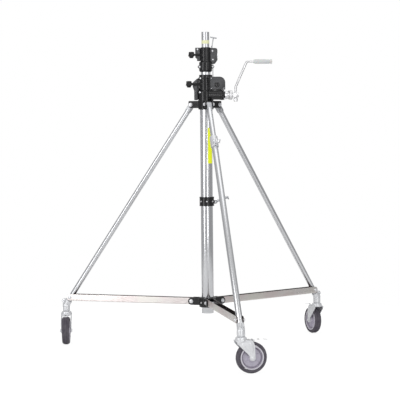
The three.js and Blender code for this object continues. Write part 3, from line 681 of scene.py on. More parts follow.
def winch_casting():
    barrel = lathed([
        (0, WINCH["bottom"], 0), (WINCH["low"], WINCH["bottom"], 2), (WINCH["low"], WINCH["step"] - 3, 3),
        (WINCH["high"], WINCH["step"], 3), (WINCH["high"], WINCH["shoulder"], 1),
        (WINCH["ring"], WINCH["shoulder"] + 1.5, 1), (WINCH["ring"], WINCH["top"], 1.6), (0, WINCH["top"], 0),
    ], 0, 4, facets=ROUND)
    solids = [barrel]
    for azimuth in AZIMUTH.values():
        solids += leg_bracket(azimuth)
    front = GEAR_CASE["front"]
    solids += [
        prism(gear_case_outline(0.4), front, -22),
        block(20, GEAR_CASE["right"] - 0.4, -23, 16, GEAR_CASE["bottom"] + 0.4, 1128),
        block(23, 39, -7.5, 7.5, 1120, 1139.6),
        rod(19.6, 2, 60, "X", (0, GEAR_Y, WORM_Z)),
        rod(20.2, 52, 60, "X", (0, GEAR_Y, WORM_Z)),
        block(8, 59, GEAR_Y - 8, -20, WORM_Z, 1090),
        block(-38, -22, 3.9, 11, 1048, 1128),
        block(-34, -20, -8, 3.5, 1092, 1128),
        rod(6.5, -25, -10, "Y", (26, 0, 1134)),
        rod(6.5, -30, -10, "Y", (26, 0, 1079)),
        rod(6.5, -18, -4, "Y", (-26, 0, 1134)),
        rod(6.5, -20, -4, "Y", (-29, 0, 1076)),
        rod(8.5, 20, 27.2, "Z", (0, 0, 0)),
    ]
    knob_boss = solids.pop()
    moved(knob_boss, Matrix.Rotation(math.radians(196), 4, "Z") @ Matrix.Translation((0, 0, 1110))
          @ Matrix.Rotation(math.radians(90), 4, "Y"))
    solids.append(knob_boss)
    cutters = [
        rod(BASE_TUBE["outer"] + 0.6, WINCH["bottom"] - 2, BASE_TUBE["top"] + 0.6, facets=ROUND),
        rod(LOWER_RISER["outer"] + 0.6, BASE_TUBE["top"], WINCH["top"] + 2, facets=ROUND),
        rod(27.5, front - 2, -27.5, "Y", (AXLE[0], 0, AXLE[1])),
        rod(11.8, -28, 12.8, "Y", (AXLE[0], 0, AXLE[1])),
        rod(5.8, 12, 17.5, "Y", (AXLE[0], 0, AXLE[1])),
        rod(15.8, 18, 62, "X", (0, GEAR_Y, WORM_Z)),
        rod(6.8, 8, 19, "X", (0, GEAR_Y, WORM_Z)),
        rod(2.4, CABLE["bottom"] - 6, WINCH["top"] + 3, "Z", (CABLE["x"], 0, 0)),
    ]
    for azimuth in AZIMUTH.values():
        slot = block(38, 80, -CHEEK[0] - 0.1, CHEEK[0] + 0.1, 1000, 1046)
        hole = rod(PIN + 0.6, -25, 25, "Y", (LEG_TOP[0], 0, LEG_TOP[1]))
        cutters += [turned_about(slot, azimuth), turned_about(hole, azimuth)]
    piece("winch_casting", cast(solids, cutters, 1.1, 4, 0.4), "column", BLACK, ["winch_body"],
          crisp=70)


def winch_plates():
    front = GEAR_CASE["front"]
    face = prism(gear_case_outline(2.6), front - 3, front - GAP, "Y", 0.7)
    boss = lathed([(0, 2, 0), (11.2, 2), (11.2, 4.6), (9.6, 5.6), (7.4, 5.6), (6.6, 4.4), (5, 4.4),
                           (4.2, 5.8), (0, 5.8, 0)], 0.4, 3, "Y", facets=FINE)
    turned_about(boss, 180)
    moved(boss, Matrix.Translation((AXLE[0], front, AXLE[1])))
    seat = rod(5.4, front - 2.2, front + 1, "Y", (AXLE[0], 0, AXLE[1]))
    piece("gear_case_cover", carved(face, seat), "column", SATIN, ["winch_cover"])
    piece("gear_case_boss", boss, "column", BLACK)

    rim = carved(prism(gear_case_outline(0.2), front - 1.9, front + 0.2, "Y", 0.5),
                 prism(gear_case_outline(2.3), front - 4, front + 1.2))
    apron = prism(arc(AXLE, 29.5, 217.4, 322.6, 20), front - 1.7, front + 0.2, "Y", 0.3)
    piece("gear_case_rim", joined([rim, apron]), "column", BLACK)

    side = rounded([(-28.5, 1136), (-37, 1133), (-55, 1117), (-55, 1099), (-49, 1083), (-49, 1044),
                    (-33.4, 1044), (-33.4, 1080), (-28.5, 1085)], 2.5, 4)
    piece("winch_side_cover", prism(side, 0.5, 3.5, "Y", 0.6), "column", SATIN,
          ["winch_side_plate"])


def worm_cap():
    """The worm housing's end flange: a waisted plate with a lug at each corner."""
    half = 21.0
    corners = [(-half, -half), (half, -half), (half, half), (-half, half)]
    plate = prism(rounded([(half, half - 2, 5), (half - 7, half, 4), (0, 15.5, 14), (-half + 7, half, 4),
                           (-half, half - 2, 5), (-15.5, 0, 14), (-half, -half + 2, 5), (-half + 7, -half, 4),
                           (0, -15.5, 14), (half - 7, -half, 4), (half, -half + 2, 5), (15.5, 0, 14)], 4, 5),
                  60.6, 66.3, "X", 0.6)
    bell = lathed([(0, 61, 0), (17.6, 61), (17.2, 66, 2), (13, 69.2), (0, 69.2, 0)], 1, 4, "X")
    cap = fused(plate, bell)
    moved(cap, Matrix.Translation((0, GEAR_Y, WORM_Z)))
    carved(cap, rod(6.8, 55, 75, "X", (0, GEAR_Y, WORM_Z)))
    piece("worm_housing_cap", cap, "column", BLACK, ["worm_end_cap"])
    screws = []
    for y, z in corners:
        head = rod(3.8, 66.3, 70.4, "X", (0, GEAR_Y + y * 0.8, WORM_Z + z * 0.8), 0.8, SMALL)
        screws.append(head)
    piece("worm_cap_screws", joined(screws), "column", ZINC)


def winch_screws():
    screws = [
        cap_screw(26, 1134, -25.2, 3.6), cap_screw(26, 1079, -30.2, 3.6),
        cap_screw(-26, 1134, -18.2, 3.6), cap_screw(-29, 1076, -20.2, 3.6),
    ]
    for x, z in ((15, 1091), (68, 1092), (14, 1133)):
        screws.append(cap_screw(x, z, GEAR_CASE["front"] - 3, 1.8, 1.2))
    piece("winch_screws", joined(screws), "column", ZINC)


def leg_top_bolts():
    for side in SIDES:
        place = out_along(side) @ Matrix.Translation((LEG_TOP[0], 0, LEG_TOP[1]))
        bolt = hex_bolt(CHEEK[1])
        piece(f"{side}_leg_pivot", bolt, "column", ZINC, [f"{side}_leg_top_bolt"], place)


def mid_collar():
    ring = turned(rounded([(BASE_TUBE["outer"] + 0.5, 602), (MID_COLLAR["radius"], 602), (30.2, 609, 1.5),
                           (30.2, 633, 1.5), (MID_COLLAR["radius"], 640), (BASE_TUBE["outer"] + 0.5, 640)],
                          0.8, 4), facets=ROUND)
    lug = prism(link((29, LATCH[1]), LATCH, 7), -4, 4)
    base_bore = rod(BASE_TUBE["outer"] + 0.5, 600, 642, facets=ROUND)
    pin_bore = rod(3.4, -6, 6, "Y", (LATCH[0], 0, LATCH[1]))
    collar = softened(carved(fused(ring, lug), base_bore, pin_bore), 0.35)
    piece("middle_collar", collar, "column", BLACK, ["mid_collar"])
    rivets = []
    for azimuth in (-155, -100, -45, 40, 140):
        head = lathed([(0, 28, 0), (3.2, 28), (3.2, 31.2, 1.4), (0, 32.4, 0)], 0.5, 4, "X",
                      facets=SMALL)
        moved(head, Matrix.Rotation(math.radians(azimuth), 4, "Z") @ Matrix.Translation((0, 0, 621)))
        rivets.append(head)
    piece("middle_collar_rivets", joined(rivets), "column", ZINC)


def latch():
    x, z = LATCH
    arm = prism(link((x, z), (x + 52, z + 19), 5), 4.4, 8.4, "Y", 0.8)
    hook = prism(link((x + 52, z + 19), (x + 57, z + 12), 3), 4.5, 8.3, "Y", 0.8)
    pin = rod(3, -6.5, 6, "Y", (x, 0, z), facets=SMALL)
    cap = rod(5, -8, -4.6, "Y", (x, 0, z), 0.8, SMALL)
    head = rod(5, 8.2, 9.6, "Y", (x, 0, z), 0.6, SMALL)
    piece("transport_latch", fused(arm, hook, pin, cap, head), "latch",
          ("zinc_plate", DULL_CHROME), ["latch_lever"])


def lobed_knob(start, head, end, radius, stem):
    """A five-lobed knob on its stem, drawn along +Z."""
    outline = []
    for k in range(80):
        turn = 2 * math.pi * k / 80
        reach = radius * (0.88 + 0.12 * math.cos(5 * turn))
        outline.append((reach * math.cos(turn), reach * math.sin(turn)))
    lobes = prism(outline, head + 2, end, "Z", 2.2)
    collar = lathed([(0, head - 3, 0), (stem + 1.5, head - 3), (radius * 0.6, head + 4),
                     (radius * 0.6, end - 2), (0, end - 2, 0)], 1, 4)
    boss = lathed([(0, end - 1, 0), (radius * 0.55, end - 1), (radius * 0.5, end + 1.2, 1),
                   (0, end + 1.4, 0)], 0.5, 4)
    shank = rod(stem, start, head, edge=0.4)
    flange = rod(stem + 2, start, start + 3, edge=0.6)
    return fused(lobes, collar, boss, shank, flange)


def knobs():
    settings = (
        ("base_lock", 196, 1110, (WINCH["high"] + 1.2, 68, 86.5, 14.5, 4.8)),
        ("riser_lock", 200, 1231, (COLLAR["high"] + 1.2, 58, 76.5, 14, 4.3)),
    )
    for body, azimuth, z, sizes in settings:
        place = (Matrix.Translation((0, 0, z)) @ Matrix.Rotation(math.radians(azimuth), 4, "Z")
                 @ Matrix.Rotation(math.radians(90), 4, "Y"))
        piece(f"{body}_handle", lobed_knob(*sizes), body, KNOB, [f"{body}_knob"], place)


# ------------------------------------------------------------------ crank
def crank():
    at_axis = Matrix.Translation((0, GEAR_Y, WORM_Z))
    bell = lathed([
        (0, 70, 0), (14, 70), (16.8, 73), (16.8, 84, 2), (14.6, 87.5, 1), (18.6, 90.5, 1), (19.6, 92.5),
        (19.6, 96), (18.4, 97, 0.6), (19.6, 98), (19.6, 103), (17.5, 105.4), (9.4, 107.4), (0, 107.4, 0),
    ], 0.8, 4, "X", facets=ROUND)
    square = block(106.5, 131, -9.5, 9.5, -9.5, 9.5, 1.0)
    hub = carved(fused(bell, square), rod(6.8, 68, 106, "X"), rod(5.6, -12, 12, "Z", (120, 0, 0)))
    piece("crank_bell", hub, "crank", FITTING, ["crank_hub"], at_axis)

    throw = CRANK_THROW
    bend = [(120, -4), (120, 16), (120, 32), (124, 42), (142, 82), (160, 121)]
    path = [(x, 0, z) for x, z in bend] + [(x, 0, throw) for x in (168, 184, 210, 240, 266)]
    piece("crank_handle_bar", swept(path, 4.9), "crank", FITTING, ["crank_arm"], at_axis)

    sleeve = turned(rounded([
        (5.4, 198), (7.4, 198), (9.2, 202, 2), (9.6, 218, 6), (9.6, 246, 6), (8.9, 264, 3), (7.7, 267, 1),
        (7.7, 268.6, 0.5), (9.9, 270), (9.9, 274.6, 1.6), (6, 276), (0, 276, 0), (0, 268, 0), (5.4, 268, 0),
    ], 1, 4), "X", facets=FINE)
    grooves = [turned(arc((10.2, x), 1.1, 90, 270, 6), "X", facets=FINE) for x in (206.5, 262)]
    place = at_axis @ Matrix.Translation((0, 0, throw))
    piece("crank_handgrip", carved(sleeve, *grooves), "grip", GRIP, ["crank_grip"], place)

    head = lathed([(0, -27, 0), (7, -27), (8.5, -25), (8.5, -14), (7, -11), (0, -11, 0)], 0.8, 4,
                  facets=FINE)
    flutes = [rod(1.1, -24.5, -13, "Z", (9.0 * math.cos(t), 9.0 * math.sin(t), 0), facets=12)
              for t in (2 * math.pi * k / 16 for k in range(16))]
    carved(head, *flutes)
    screw = fused(head, rod(4, -12, -4.6, facets=SMALL))
    place = at_axis @ Matrix.Translation((120, 0, 0))
    piece("crank_lock_screw", screw, "crank_lock", FITTING, ["crank_lock_knob"], place)


# ------------------------------------------------------------------ riser head
def clamp_screw_place():
    """Where the T-shaped screw enters the riser casting, leaning a little."""
    return Matrix.Translation((26, -4, COLLAR["top"] - 2)) @ Matrix.Rotation(0.17, 4, "Y")


def pulley_case_outline(inset=0.0):
    left, right = PULLEY_CASE["left"] + inset, PULLEY_CASE["right"] - inset
    bottom, top = PULLEY_CASE["bottom"] + inset, PULLEY_CASE["top"] - inset
    corners = [(left, bottom + 4, 1), (30, bottom, 3), (38, bottom, 4), (right, bottom + 16, 6),
               (right, top, 11), (left, top, 1)]
    return rounded(corners, 2, 6)


def riser_casting():
    low, high = COLLAR["low"], COLLAR["high"]
    bottom, step, top = COLLAR["bottom"], COLLAR["step"], COLLAR["top"]
    barrel = lathed([
        (0, bottom, 0), (low - 4, bottom), (low, bottom + 5, 3), (low, step - 2, 2),
        (high, step + 1, 2), (high, top, 1.5), (0, top, 0),
    ], 1, 4, facets=ROUND)
    solids = [
        barrel,
        prism(pulley_case_outline(0.4), -8.6, 8.6),
        block(-34, -14, 4.4, 11, 1207, 1259),
        rod(7.5, 14, 21.6, "Z"),
        rod(6.5, -14, -4, "Y", (-28, 0, 1182)),
        rod(6.5, -14, -4, "Y", (28, 0, 1182)),
        block(-28, 28, -14, -4, 1176, 1188),
    ]
    boss = solids[3]
    moved(boss, Matrix.Rotation(math.radians(200), 4, "Z") @ Matrix.Translation((0, 0, 1231))
          @ Matrix.Rotation(math.radians(90), 4, "Y"))
    cutters = [
        rod(LOWER_RISER["outer"] + 0.5, bottom - 2, LOWER_RISER["top"] + 0.6, facets=ROUND),
        rod(UPPER_RISER["outer"] + 0.6, LOWER_RISER["top"], top + 2, facets=ROUND),
        rod(12.5, -11, 5, "Y", (41.5, 0, 1228)),
        rod(3.8, 4, 7.8, "Y", (41.5, 0, 1228)),
        block(CABLE["x"] - 2.4, CABLE["x"] + 2.4, -2.4, 2.4, 1188, 1228),
        moved(rod(2.7, -8, 4), clamp_screw_place()),
    ]
    piece("riser_casting", cast(solids, cutters, 1.0, 4, 0.4), "lower_riser", BLACK,
          ["riser_collar"], crisp=70)


def riser_plates():
    side = rounded([(-21.8, 1262), (-43, 1262), (-43, 1222), (-28, 1206), (-21.8, 1206)], 3, 4)
    piece("riser_side_cover", prism(side, 1, 4, "Y", 0.6), "lower_riser", SATIN,
          ["riser_side_plate"])
    cover = prism(pulley_case_outline(2.6), -11.9, -9.3, "Y", 0.6)
    cutters = [
        rod(3.6, -10.8, -8, "Y", (41.5, 0, 1228)),
        rod(COLLAR["high"] + 0.5, 1150, 1270, facets=ROUND),
        rod(COLLAR["low"] + 0.5, 1150, COLLAR["step"] + 1, facets=ROUND),
    ]
    piece("pulley_cover_plate", carved(cover, *cutters), "lower_riser", SATIN, ["pulley_cover"])
    screws = [
        cap_screw(27.5, 1248, -12, 3.9), cap_screw(29, 1212, -12, 3.6),
        cap_screw(-28, 1182, -14.2, 4.4), cap_screw(28, 1182, -14.2, 4.4), cap_screw(-33, 1255, 1, 3.6),
    ]
    piece("riser_screws", joined(screws), "lower_riser", ZINC)


def clamp_screw():
    stem = rod(2, -5, 43, edge=0.4, facets=SMALL)
    bar = rod(2.8, -14, 14, "X", (0, 0, 43), 1.2, SMALL)
    nut = rod(4.2, 2.4, 6, edge=0.5, facets=6)
    piece("riser_clamp_screw", fused(stem, bar, nut), "clamp_screw",
          ("chrome_fitting", DULL_CHROME), ["t_handle"], clamp_screw_place())


def cable():
    """A wire rope: six strands laid round each other, drawn from the winch up to the riser head."""
    radius, turns, steps = 0.62, 9, 160
    strands = []
    for s in range(6):
        path = []
        for k in range(steps + 1):
            turn = 2 * math.pi * (turns * k / steps + s / 6)
            z = CABLE["bottom"] + (CABLE["top"] - CABLE["bottom"]) * k / steps
            path.append((CABLE["x"] + 0.86 * math.cos(turn), 0.86 * math.sin(turn), z))
        strands.append(strand(path, radius))
    rope = joined(strands)
    shaded(rope)
    rope.data.transform(COLUMN @ Matrix.Scale(MM, 4))
    rope.name = "lift_cable"
    rope.data.materials.append(ROPE)
    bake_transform(rope)
    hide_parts("riser_cable")


def strand(path, radius, facets=8):
    rings = []
    for x, y, z in path:
        turns = [2 * math.pi * k / facets for k in range(facets)]
        rings.append([(x + radius * math.cos(t), y + radius * math.sin(t), z) for t in turns])
    vertices = [v for ring in rings for v in ring]
    faces = [list(range(facets)), list(range(len(vertices) - 1, len(vertices) - facets - 1, -1))]
    for i in range(len(rings) - 1):
        for k in range(facets):
            a, b = i * facets + k, i * facets + (k + 1) % facets
            faces.append([a, b, b + facets, a + facets])
    return solid_from(vertices, faces)


# ------------------------------------------------------------------ hub, braces and legs
def hub():
    ring = lathed([(0, HUB["bottom"], 0), (HUB["radius"], HUB["bottom"]), (HUB["radius"], HUB["top"]),
                           (0, HUB["top"], 0)], 3, 4, facets=ROUND)
    solids = [ring]
    cutters = [rod(BASE_TUBE["outer"] + 0.5, HUB["bottom"] - 3, HUB["top"] + 3, facets=ROUND)]
    for azimuth in AZIMUTH.values():
        shape = link((26, HUB_PIVOT[1]), HUB_PIVOT, HUB["lug"])
        for low, high in ((HUB["inner"], HUB["outer"]), (-HUB["outer"], -HUB["inner"])):
            solids.append(turned_about(prism(shape, low, high), azimuth))
        slot = block(36.5, 90, -HUB["inner"], HUB["inner"], HUB["bottom"] - 5, HUB["top"] + 5)
        hole = rod(PIN + 0.6, -25, 25, "Y", (HUB_PIVOT[0], 0, HUB_PIVOT[1]))
        cutters += [turned_about(slot, azimuth), turned_about(hole, azimuth)]
    piece("spreader_hub", cast(solids, cutters, 1.0, 4, 0.4), "hub", BLACK, ["lower_hub"],
          crisp=70)
    screws = []
    for azimuth in (-150, -30, 90):
        head = rod(3.4, 33, 37.4, "X", edge=0.8, facets=SMALL)
        moved(head, Matrix.Rotation(math.radians(azimuth), 4, "Z") @ Matrix.Translation((0, 0, 197)))
        screws.append(head)
    piece("spreader_hub_screws", joined(screws), "hub", ZINC)


def channel():
    """A brace drawn along +X at its pivots' height: a channel open at the top, with rounded cheek ends."""
    inner, outer = HUB_PIVOT[0], LEG_FOOT[0]
    half, wide = CHANNEL["height"] / 2, CHANNEL["width"] / 2
    wall, bend = CHANNEL["wall"], 3.0
    hollow, floor = wide - wall, -half + wall
    section = [(-wide, half), (-wide, -half, bend), (wide, -half, bend), (wide, half), (hollow, half),
               (hollow, floor, bend - wall), (-hollow, floor, bend - wall), (-hollow, half)]
    body = prism(rounded(section, 0.5, 4), inner - CHANNEL["overhang"], outer + CHANNEL["overhang"], "X")
    profile = []
    for centre, start in ((outer, -90), (inner, 90)):
        for k in range(13):
            turn = math.radians(start + 15 * k)
            profile.append((centre + CHANNEL["overhang"] * math.cos(turn), half * math.sin(turn) * 1.002))
    trim = prism(profile, -20, 20)
    body = combined(body, [trim], "INTERSECT")
    gap = CHANNEL["web_gap"]
    ends = [block(low, high, -wide + wall + 0.2, wide - wall - 0.2, -20, 20)
            for low, high in ((inner - 20, inner + gap), (outer - gap, outer + 20))]
    holes = [rod(PIN + 0.5, -20, 20, "Y", (x, 0, 0), facets=FINE) for x in (inner, outer)]
    return carved(body, *ends, *holes)


def braces():
    for side in SIDES:
        place = out_along(side) @ Matrix.Translation((0, 0, HUB_PIVOT[1]))
        piece(f"{side}_brace_channel", channel(), f"{side}_brace", CHANNEL_STEEL,
              [f"{side}_brace"], place)
        for name, x, half, node in (
            (f"{side}_hub_pivot", HUB_PIVOT[0], HUB["outer"], f"{side}_hub_bolt"),
            (f"{side}_foot_pivot", LEG_FOOT[0], CHANNEL["width"] / 2, f"{side}_leg_bolt"),
        ):
            at = place @ Matrix.Translation((x, 0, 0))
            piece(name, hex_bolt(half), f"{side}_brace", ZINC, [node], at)


def tongue():
    """The leg's flattened top, with its open slot."""
    half, radius = TONGUE["half"], TONGUE["radius"]
    blade = prism(link((0, LEG_LENGTH - 30), (0, LEG_LENGTH), radius), -half, half, "Y", 1.0)
    eye = rod(TONGUE["slot"], -half - 5, half + 5, "Y", (0, 0, LEG_LENGTH))
    mouth = block(-TONGUE["slot"], TONGUE["slot"], -half - 5, half + 5, 0, 30)
    lean = Matrix.Rotation(math.radians(-TONGUE["lean"]), 4, "Y")
    moved(mouth, Matrix.Translation((0, 0, LEG_LENGTH)) @ lean)
    return carved(blade, eye, mouth)


def leg_tubes():
    for side in SIDES:
        piece(f"{side}_leg_tongue", tongue(), f"{side}_leg",
              ("chrome_tube", DULL_CHROME), (), leg_place(side))
    for side in ("left", "right"):
        tube = pipe(LEG_TUBE["outer"], LEG_TUBE["inner"], -LEG_TUBE["below"], LEG_LENGTH - 22, 0.3, 64)
        bored = carved(tube, rod(PIN + 0.5, -20, 20, "Y"))
        piece(f"{side}_leg", bored, f"{side}_leg", CHROME, [f"{side}_leg_tube"], leg_place(side))
    upper = pipe(LEG_TUBE["outer"], LEG_TUBE["inner"],
                 LEG_LENGTH - INNER_TUBE_LENGTH, LEG_LENGTH - 22, 0.3, 64)
    piece("front_leg_inner", upper, "front_leg", CHROME,
          ["front_leg_upper_tube"], leg_place("front"))
    lower = pipe(OUTER_TUBE["outer"], OUTER_TUBE["inner"],
                 -LEG_TUBE["below"], LEG_LENGTH - OUTER_TUBE["start"], 0.3, 64)
    piece("front_leg_outer", carved(lower, rod(PIN + 0.5, -20, 20, "Y")), "front_leg", CHROME,
          ["front_leg_lower_tube"], leg_place("front"))


def levelling():
    top, bottom = LEG_LENGTH - CLAMP["start"], LEG_LENGTH - CLAMP["end"]
    lip = LEG_LENGTH - OUTER_TUBE["start"] + GAP
    radius = CLAMP["radius"]
    body = lathed([(0, bottom, 0), (radius, bottom), (radius, top), (0, top, 0)], 2, 4)
    low, high = bottom + 4.3, bottom + 23.7
    ear = prism(rounded([(8, low), (29.6, low), (29.6, high), (8, high)], 4, 5), -7.7, 7.7)
    split = block(10, 34, -1.1, 1.1, bottom - 1, bottom + 30)
    cutters = [
        rod(OUTER_TUBE["outer"] + 0.4, bottom - 2, lip),
        rod(LEG_TUBE["outer"] + 0.5, lip - 1, top + 2),
        rod(3.5, -10, 10, "Y", (CLAMP["screw"], 0, bottom + 14)),
        split,
    ]
    piece("levelling_collar", cast([body, ear], cutters, 0.8, 3, 0.4), "front_leg", ZINC,
          ["levelling_clamp"], leg_place("front"), 70)
    shank = rod(3, -11, 9, "Y", facets=SMALL)
    head = rod(6, 8.4, 15.5, "Y", edge=0.8, facets=6)
    wing = block(-13, 13, 15, 20, -2.5, 2.5, 1.2)
    tip = rod(4.6, -11.6, -8.4, "Y", edge=0.5, facets=6)
    place = leg_place("front") @ Matrix.Translation((CLAMP["screw"], 0, bottom + 14))
    piece("levelling_wing_screw", fused(shank, head, wing, tip), "levelling_screw", ZINC,
          ["levelling_screw"], place)


def socket(side):
    """The caster socket: a sleeve on the leg, a pinch lug with two screws, and an upright boss."""
    radius = OUTER_TUBE["outer"] if side == "front" else LEG_TUBE["outer"]
    lean = Matrix.Translation((LEG_FOOT[0], 0, LEG_FOOT[1])) @ Matrix.Rotation(-LEG_LEAN, 4, "Y")
    sleeve = moved(rod(14.9, -46, -17), lean)
    lug = moved(prism(rounded([(8, -40), (24.6, -40), (24.6, -23), (8, -23)], 4, 5), -6.8, 6.8), lean)
    boss = lathed([(0, 141, 0), (15, 141), (15.9, 144), (15.9, 165), (13, 170.6), (0, 170.6, 0)],
                  1.5, 4, at=(CASTER_R, 0, 0))
    cutters = [
        moved(rod(radius + 0.5, -LEG_TUBE["below"] - 0.5, -8), lean),
        rod(7, 135, 158, "Z", (CASTER_R, 0, 0)),
        moved(block(12, 30, -0.9, 0.9, -44, -15), lean),
    ]
    body = f"{side}_leg"
    piece(f"{side}_caster_mount", cast([sleeve, lug, boss], cutters, 0.8, 4, 0.4), body, ZINC,
          [f"{side}_caster_socket"], out_along(side), 70)
    screws = []
    for low, high in ((6.6, 9.4), (-9.4, -6.6)):
        screws.append(rod(3.6, low, high, "Y", (19, 0, -31.5), 0.7, SMALL))
    piece(f"{side}_mount_screws", joined(screws), body, ZINC, (), out_along(side) @ lean)


# ------------------------------------------------------------------ casters
def fork():
    trail, axle_z, crown = WHEEL["trail"], WHEEL["radius"], CROWN_Z
    dome = lathed([(0, crown - 4, 0), (24.6, crown - 4), (24.6, crown), (22, crown + 2.4),
                           (22, SWIVEL_Z - 4, 3), (17, SWIVEL_Z - 0.3), (0, SWIVEL_Z - 0.3, 0)], 0.8, 4)
    bridge = block(-20, trail - 2, -21.8, 21.8, crown - 4, crown - 0.2)
    left, right = (-23.6, crown - 0.4), (trail + 8.6, crown - 19)
    outline = [left, (-21, crown - 12), (trail - 12.5, axle_z + 8)]
    outline += arc((trail, axle_z), 11, 195, 345, 14)
    outline += [right, (trail - 1, crown - 0.4)]
    arms = [prism(rounded([(*p, 3.0) for p in outline[:2]] + [(*p, 0.0) for p in outline[2:-2]]
                          + [(*p, 7.0) for p in outline[-2:]], 1, 5), low, high)
            for low, high in ((19.1, 22), (-22, -19.1))]
    embossed = [prism(rounded([(-6, crown - 12), (trail - 6, axle_z + 20), (trail + 3, axle_z + 20),
                               (trail - 2, crown - 14)], 4, 4), low, high)
                for low, high in ((21.5, 22.9), (-22.9, -21.5))]
    solids = [dome, bridge, *arms, *embossed]
    return cast(solids, (), 0.75, 3, 0.35)


def axle():
    trail, z = WHEEL["trail"], WHEEL["radius"]
    bar = rod(PIN, -25.8, 25.8, "Y", (trail, 0, z), 0.5, SMALL)
    heads = [rod(7, low, high, "Y", (trail, 0, z), 0.6, 6) for low, high in ((22.2, 25.9), (-25.9, -22.2))]
    washers = [rod(8.4, low, high, "Y", (trail, 0, z), 0.3, 32) for low, high in ((22, 22.9), (-22.9, -22))]
    return fused(bar, *heads, *washers)


def swivel_stem():
    return rod(6, SWIVEL_Z - 2, 156, edge=0.6, facets=SMALL)


def wheel_centre():
    """A moulded wheel: hub tube, dished web with ribs on both sides, and a rim with a raised lip."""
    half = [(PIN + 0.5, 18.0), (9.0, 18.0), (9.0, 16.4), (13.0, 16.0), (14.5, 9.0), (17.0, 6.0), (36.0, 6.0),
            (39.0, 9.5), (41.0, 13.4), (43.0, 14.2), (46.6, 13.6)]
    outline = rounded([*half, *[(r, -h) for r, h in reversed(half)]], 0.9, 3)
    body = turned(outline, "Y", (WHEEL["trail"], 0, WHEEL["radius"]), ROUND)
    ribs = []
    for k in range(6):
        rib = block(13.5, 39.5, -8.6, 8.6, -1.3, 1.3, 0.5)
        place = Matrix.Translation((WHEEL["trail"], 0, WHEEL["radius"]))
        ribs.append(moved(rib, place @ Matrix.Rotation(math.radians(60 * k + 30), 4, "Y")))
    return fused(body, *ribs)


def tyre():
    """A rounded tread with two fine grooves, and walls that meet the rim."""
    radius, half = WHEEL["radius"], WHEEL["half"]
    groove, depth, place = 0.8, 1.0, 5.5
    floor = radius - depth
    wall = [(48.0, 13.6, 0.6), (53.0, half - 0.2, 1.5), (radius - 3.4, half - 2.6, 3),
            (radius - 0.4, half - 9, 4)]
    tread = [(radius, place + groove, 0.2), (floor, place + 0.3, 0.2), (floor, place - 0.3, 0.2),
             (radius, place - groove, 0.2)]
    upper = wall + tread
    outline = rounded(upper + [(r, -h, e) for r, h, e in reversed(upper)], 1, 4)
    return turned(outline, "Y", (WHEEL["trail"], 0, radius), 128)


def pedal():
    x, z = WHEEL["trail"] + 6, CROWN_Z - 2
    top = [(x, z + 1.5), (x + 38, z + 1.5, 6), (x + 62, z - 2, 1)]
    under = [(x + 62, z - 5, 1), (x + 38, z - 1.5, 6), (x, z - 1.5)]
    plate = prism(rounded(top + under, 0.6, 5), -13.8, 13.8, "Y", 0.5)
    outline = rounded([(x - 6, -15), (x + 62, -15, 7), (x + 62, 15, 7), (x - 6, 15)], 1, 6)
    rounding = prism(outline, z - 20, z + 20, "Z")
    plate = combined(plate, [rounding], "INTERSECT")
    barrel = rod(3.1, -15.8, 15.8, "Y", (x, 0, z), 0.4, SMALL)
    ridges = [rod(0.9, -9, 9, "Y", (x + 44 + 5 * k, 0, z + 1.0 - 0.75 * k), 0.4, 12) for k in range(3)]
    return fused(plate, barrel, *ridges)


def pedal_pad():
    """The dark rivet that holds the brake block under the pedal."""
    x, z = WHEEL["trail"] + 28, CROWN_Z - 2
    head = lathed([(0, 0, 0), (4.2, 0), (4.2, 1.4, 1), (0, 2.2, 0)], 0.4, 4, facets=SMALL)
    return moved(head, Matrix.Translation((x, 0, z + 1.4)))


def casters():
    parts = (
        ("caster_yoke", fork, "fork", ZINC, "caster_fork"),
        ("caster_axle", axle, "fork", ZINC, None),
        ("caster_stem", swivel_stem, "fork", ZINC, None),
        ("wheel_core", wheel_centre, "wheel", WHEEL_PLASTIC, "wheel_centre"),
        ("wheel_tyre", tyre, "wheel", TYRE, "tyre"),
        ("brake_lever", pedal, "pedal", ZINC, "brake_pedal"),
        ("brake_rivet", pedal_pad, "pedal", KNOB, None),
    )
    for name, make, body, look, node in parts:
        pattern = make()
        for side in SIDES:
            solid = bpy.data.objects.new(name, pattern.data.copy())
            bpy.context.scene.collection.objects.link(solid)
            replaced = [f"{side}_{node}"] if node else []
            piece(f"{side}_{name}", solid, f"{side}_{body}", look, replaced, caster_place(side))
        bpy.data.objects.remove(pattern)


# ------------------------------------------------------------------ pieces kept from the frame
ROPE = inner_metal("wire_rope", (0.62, 0.63, 0.65), 0.3)


def kept_nodes():
    steel = inner_metal("machined_steel", (0.62, 0.63, 0.65), 0.28)
    bronze = inner_metal("gear_bronze", (0.60, 0.42, 0.18), 0.35)
    nylon = black_plastic("bush_nylon", "object")
    looks = {
        "worm_shaft": steel, "cable_drum": steel, "cable_pulley": steel, "worm_wheel": bronze,
        "lower_riser_bush": nylon, "upper_riser_bush": nylon,
    }
    for name, material in looks.items():
        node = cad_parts[name]
        node.data.materials.clear()
        node.data.materials.append(material)


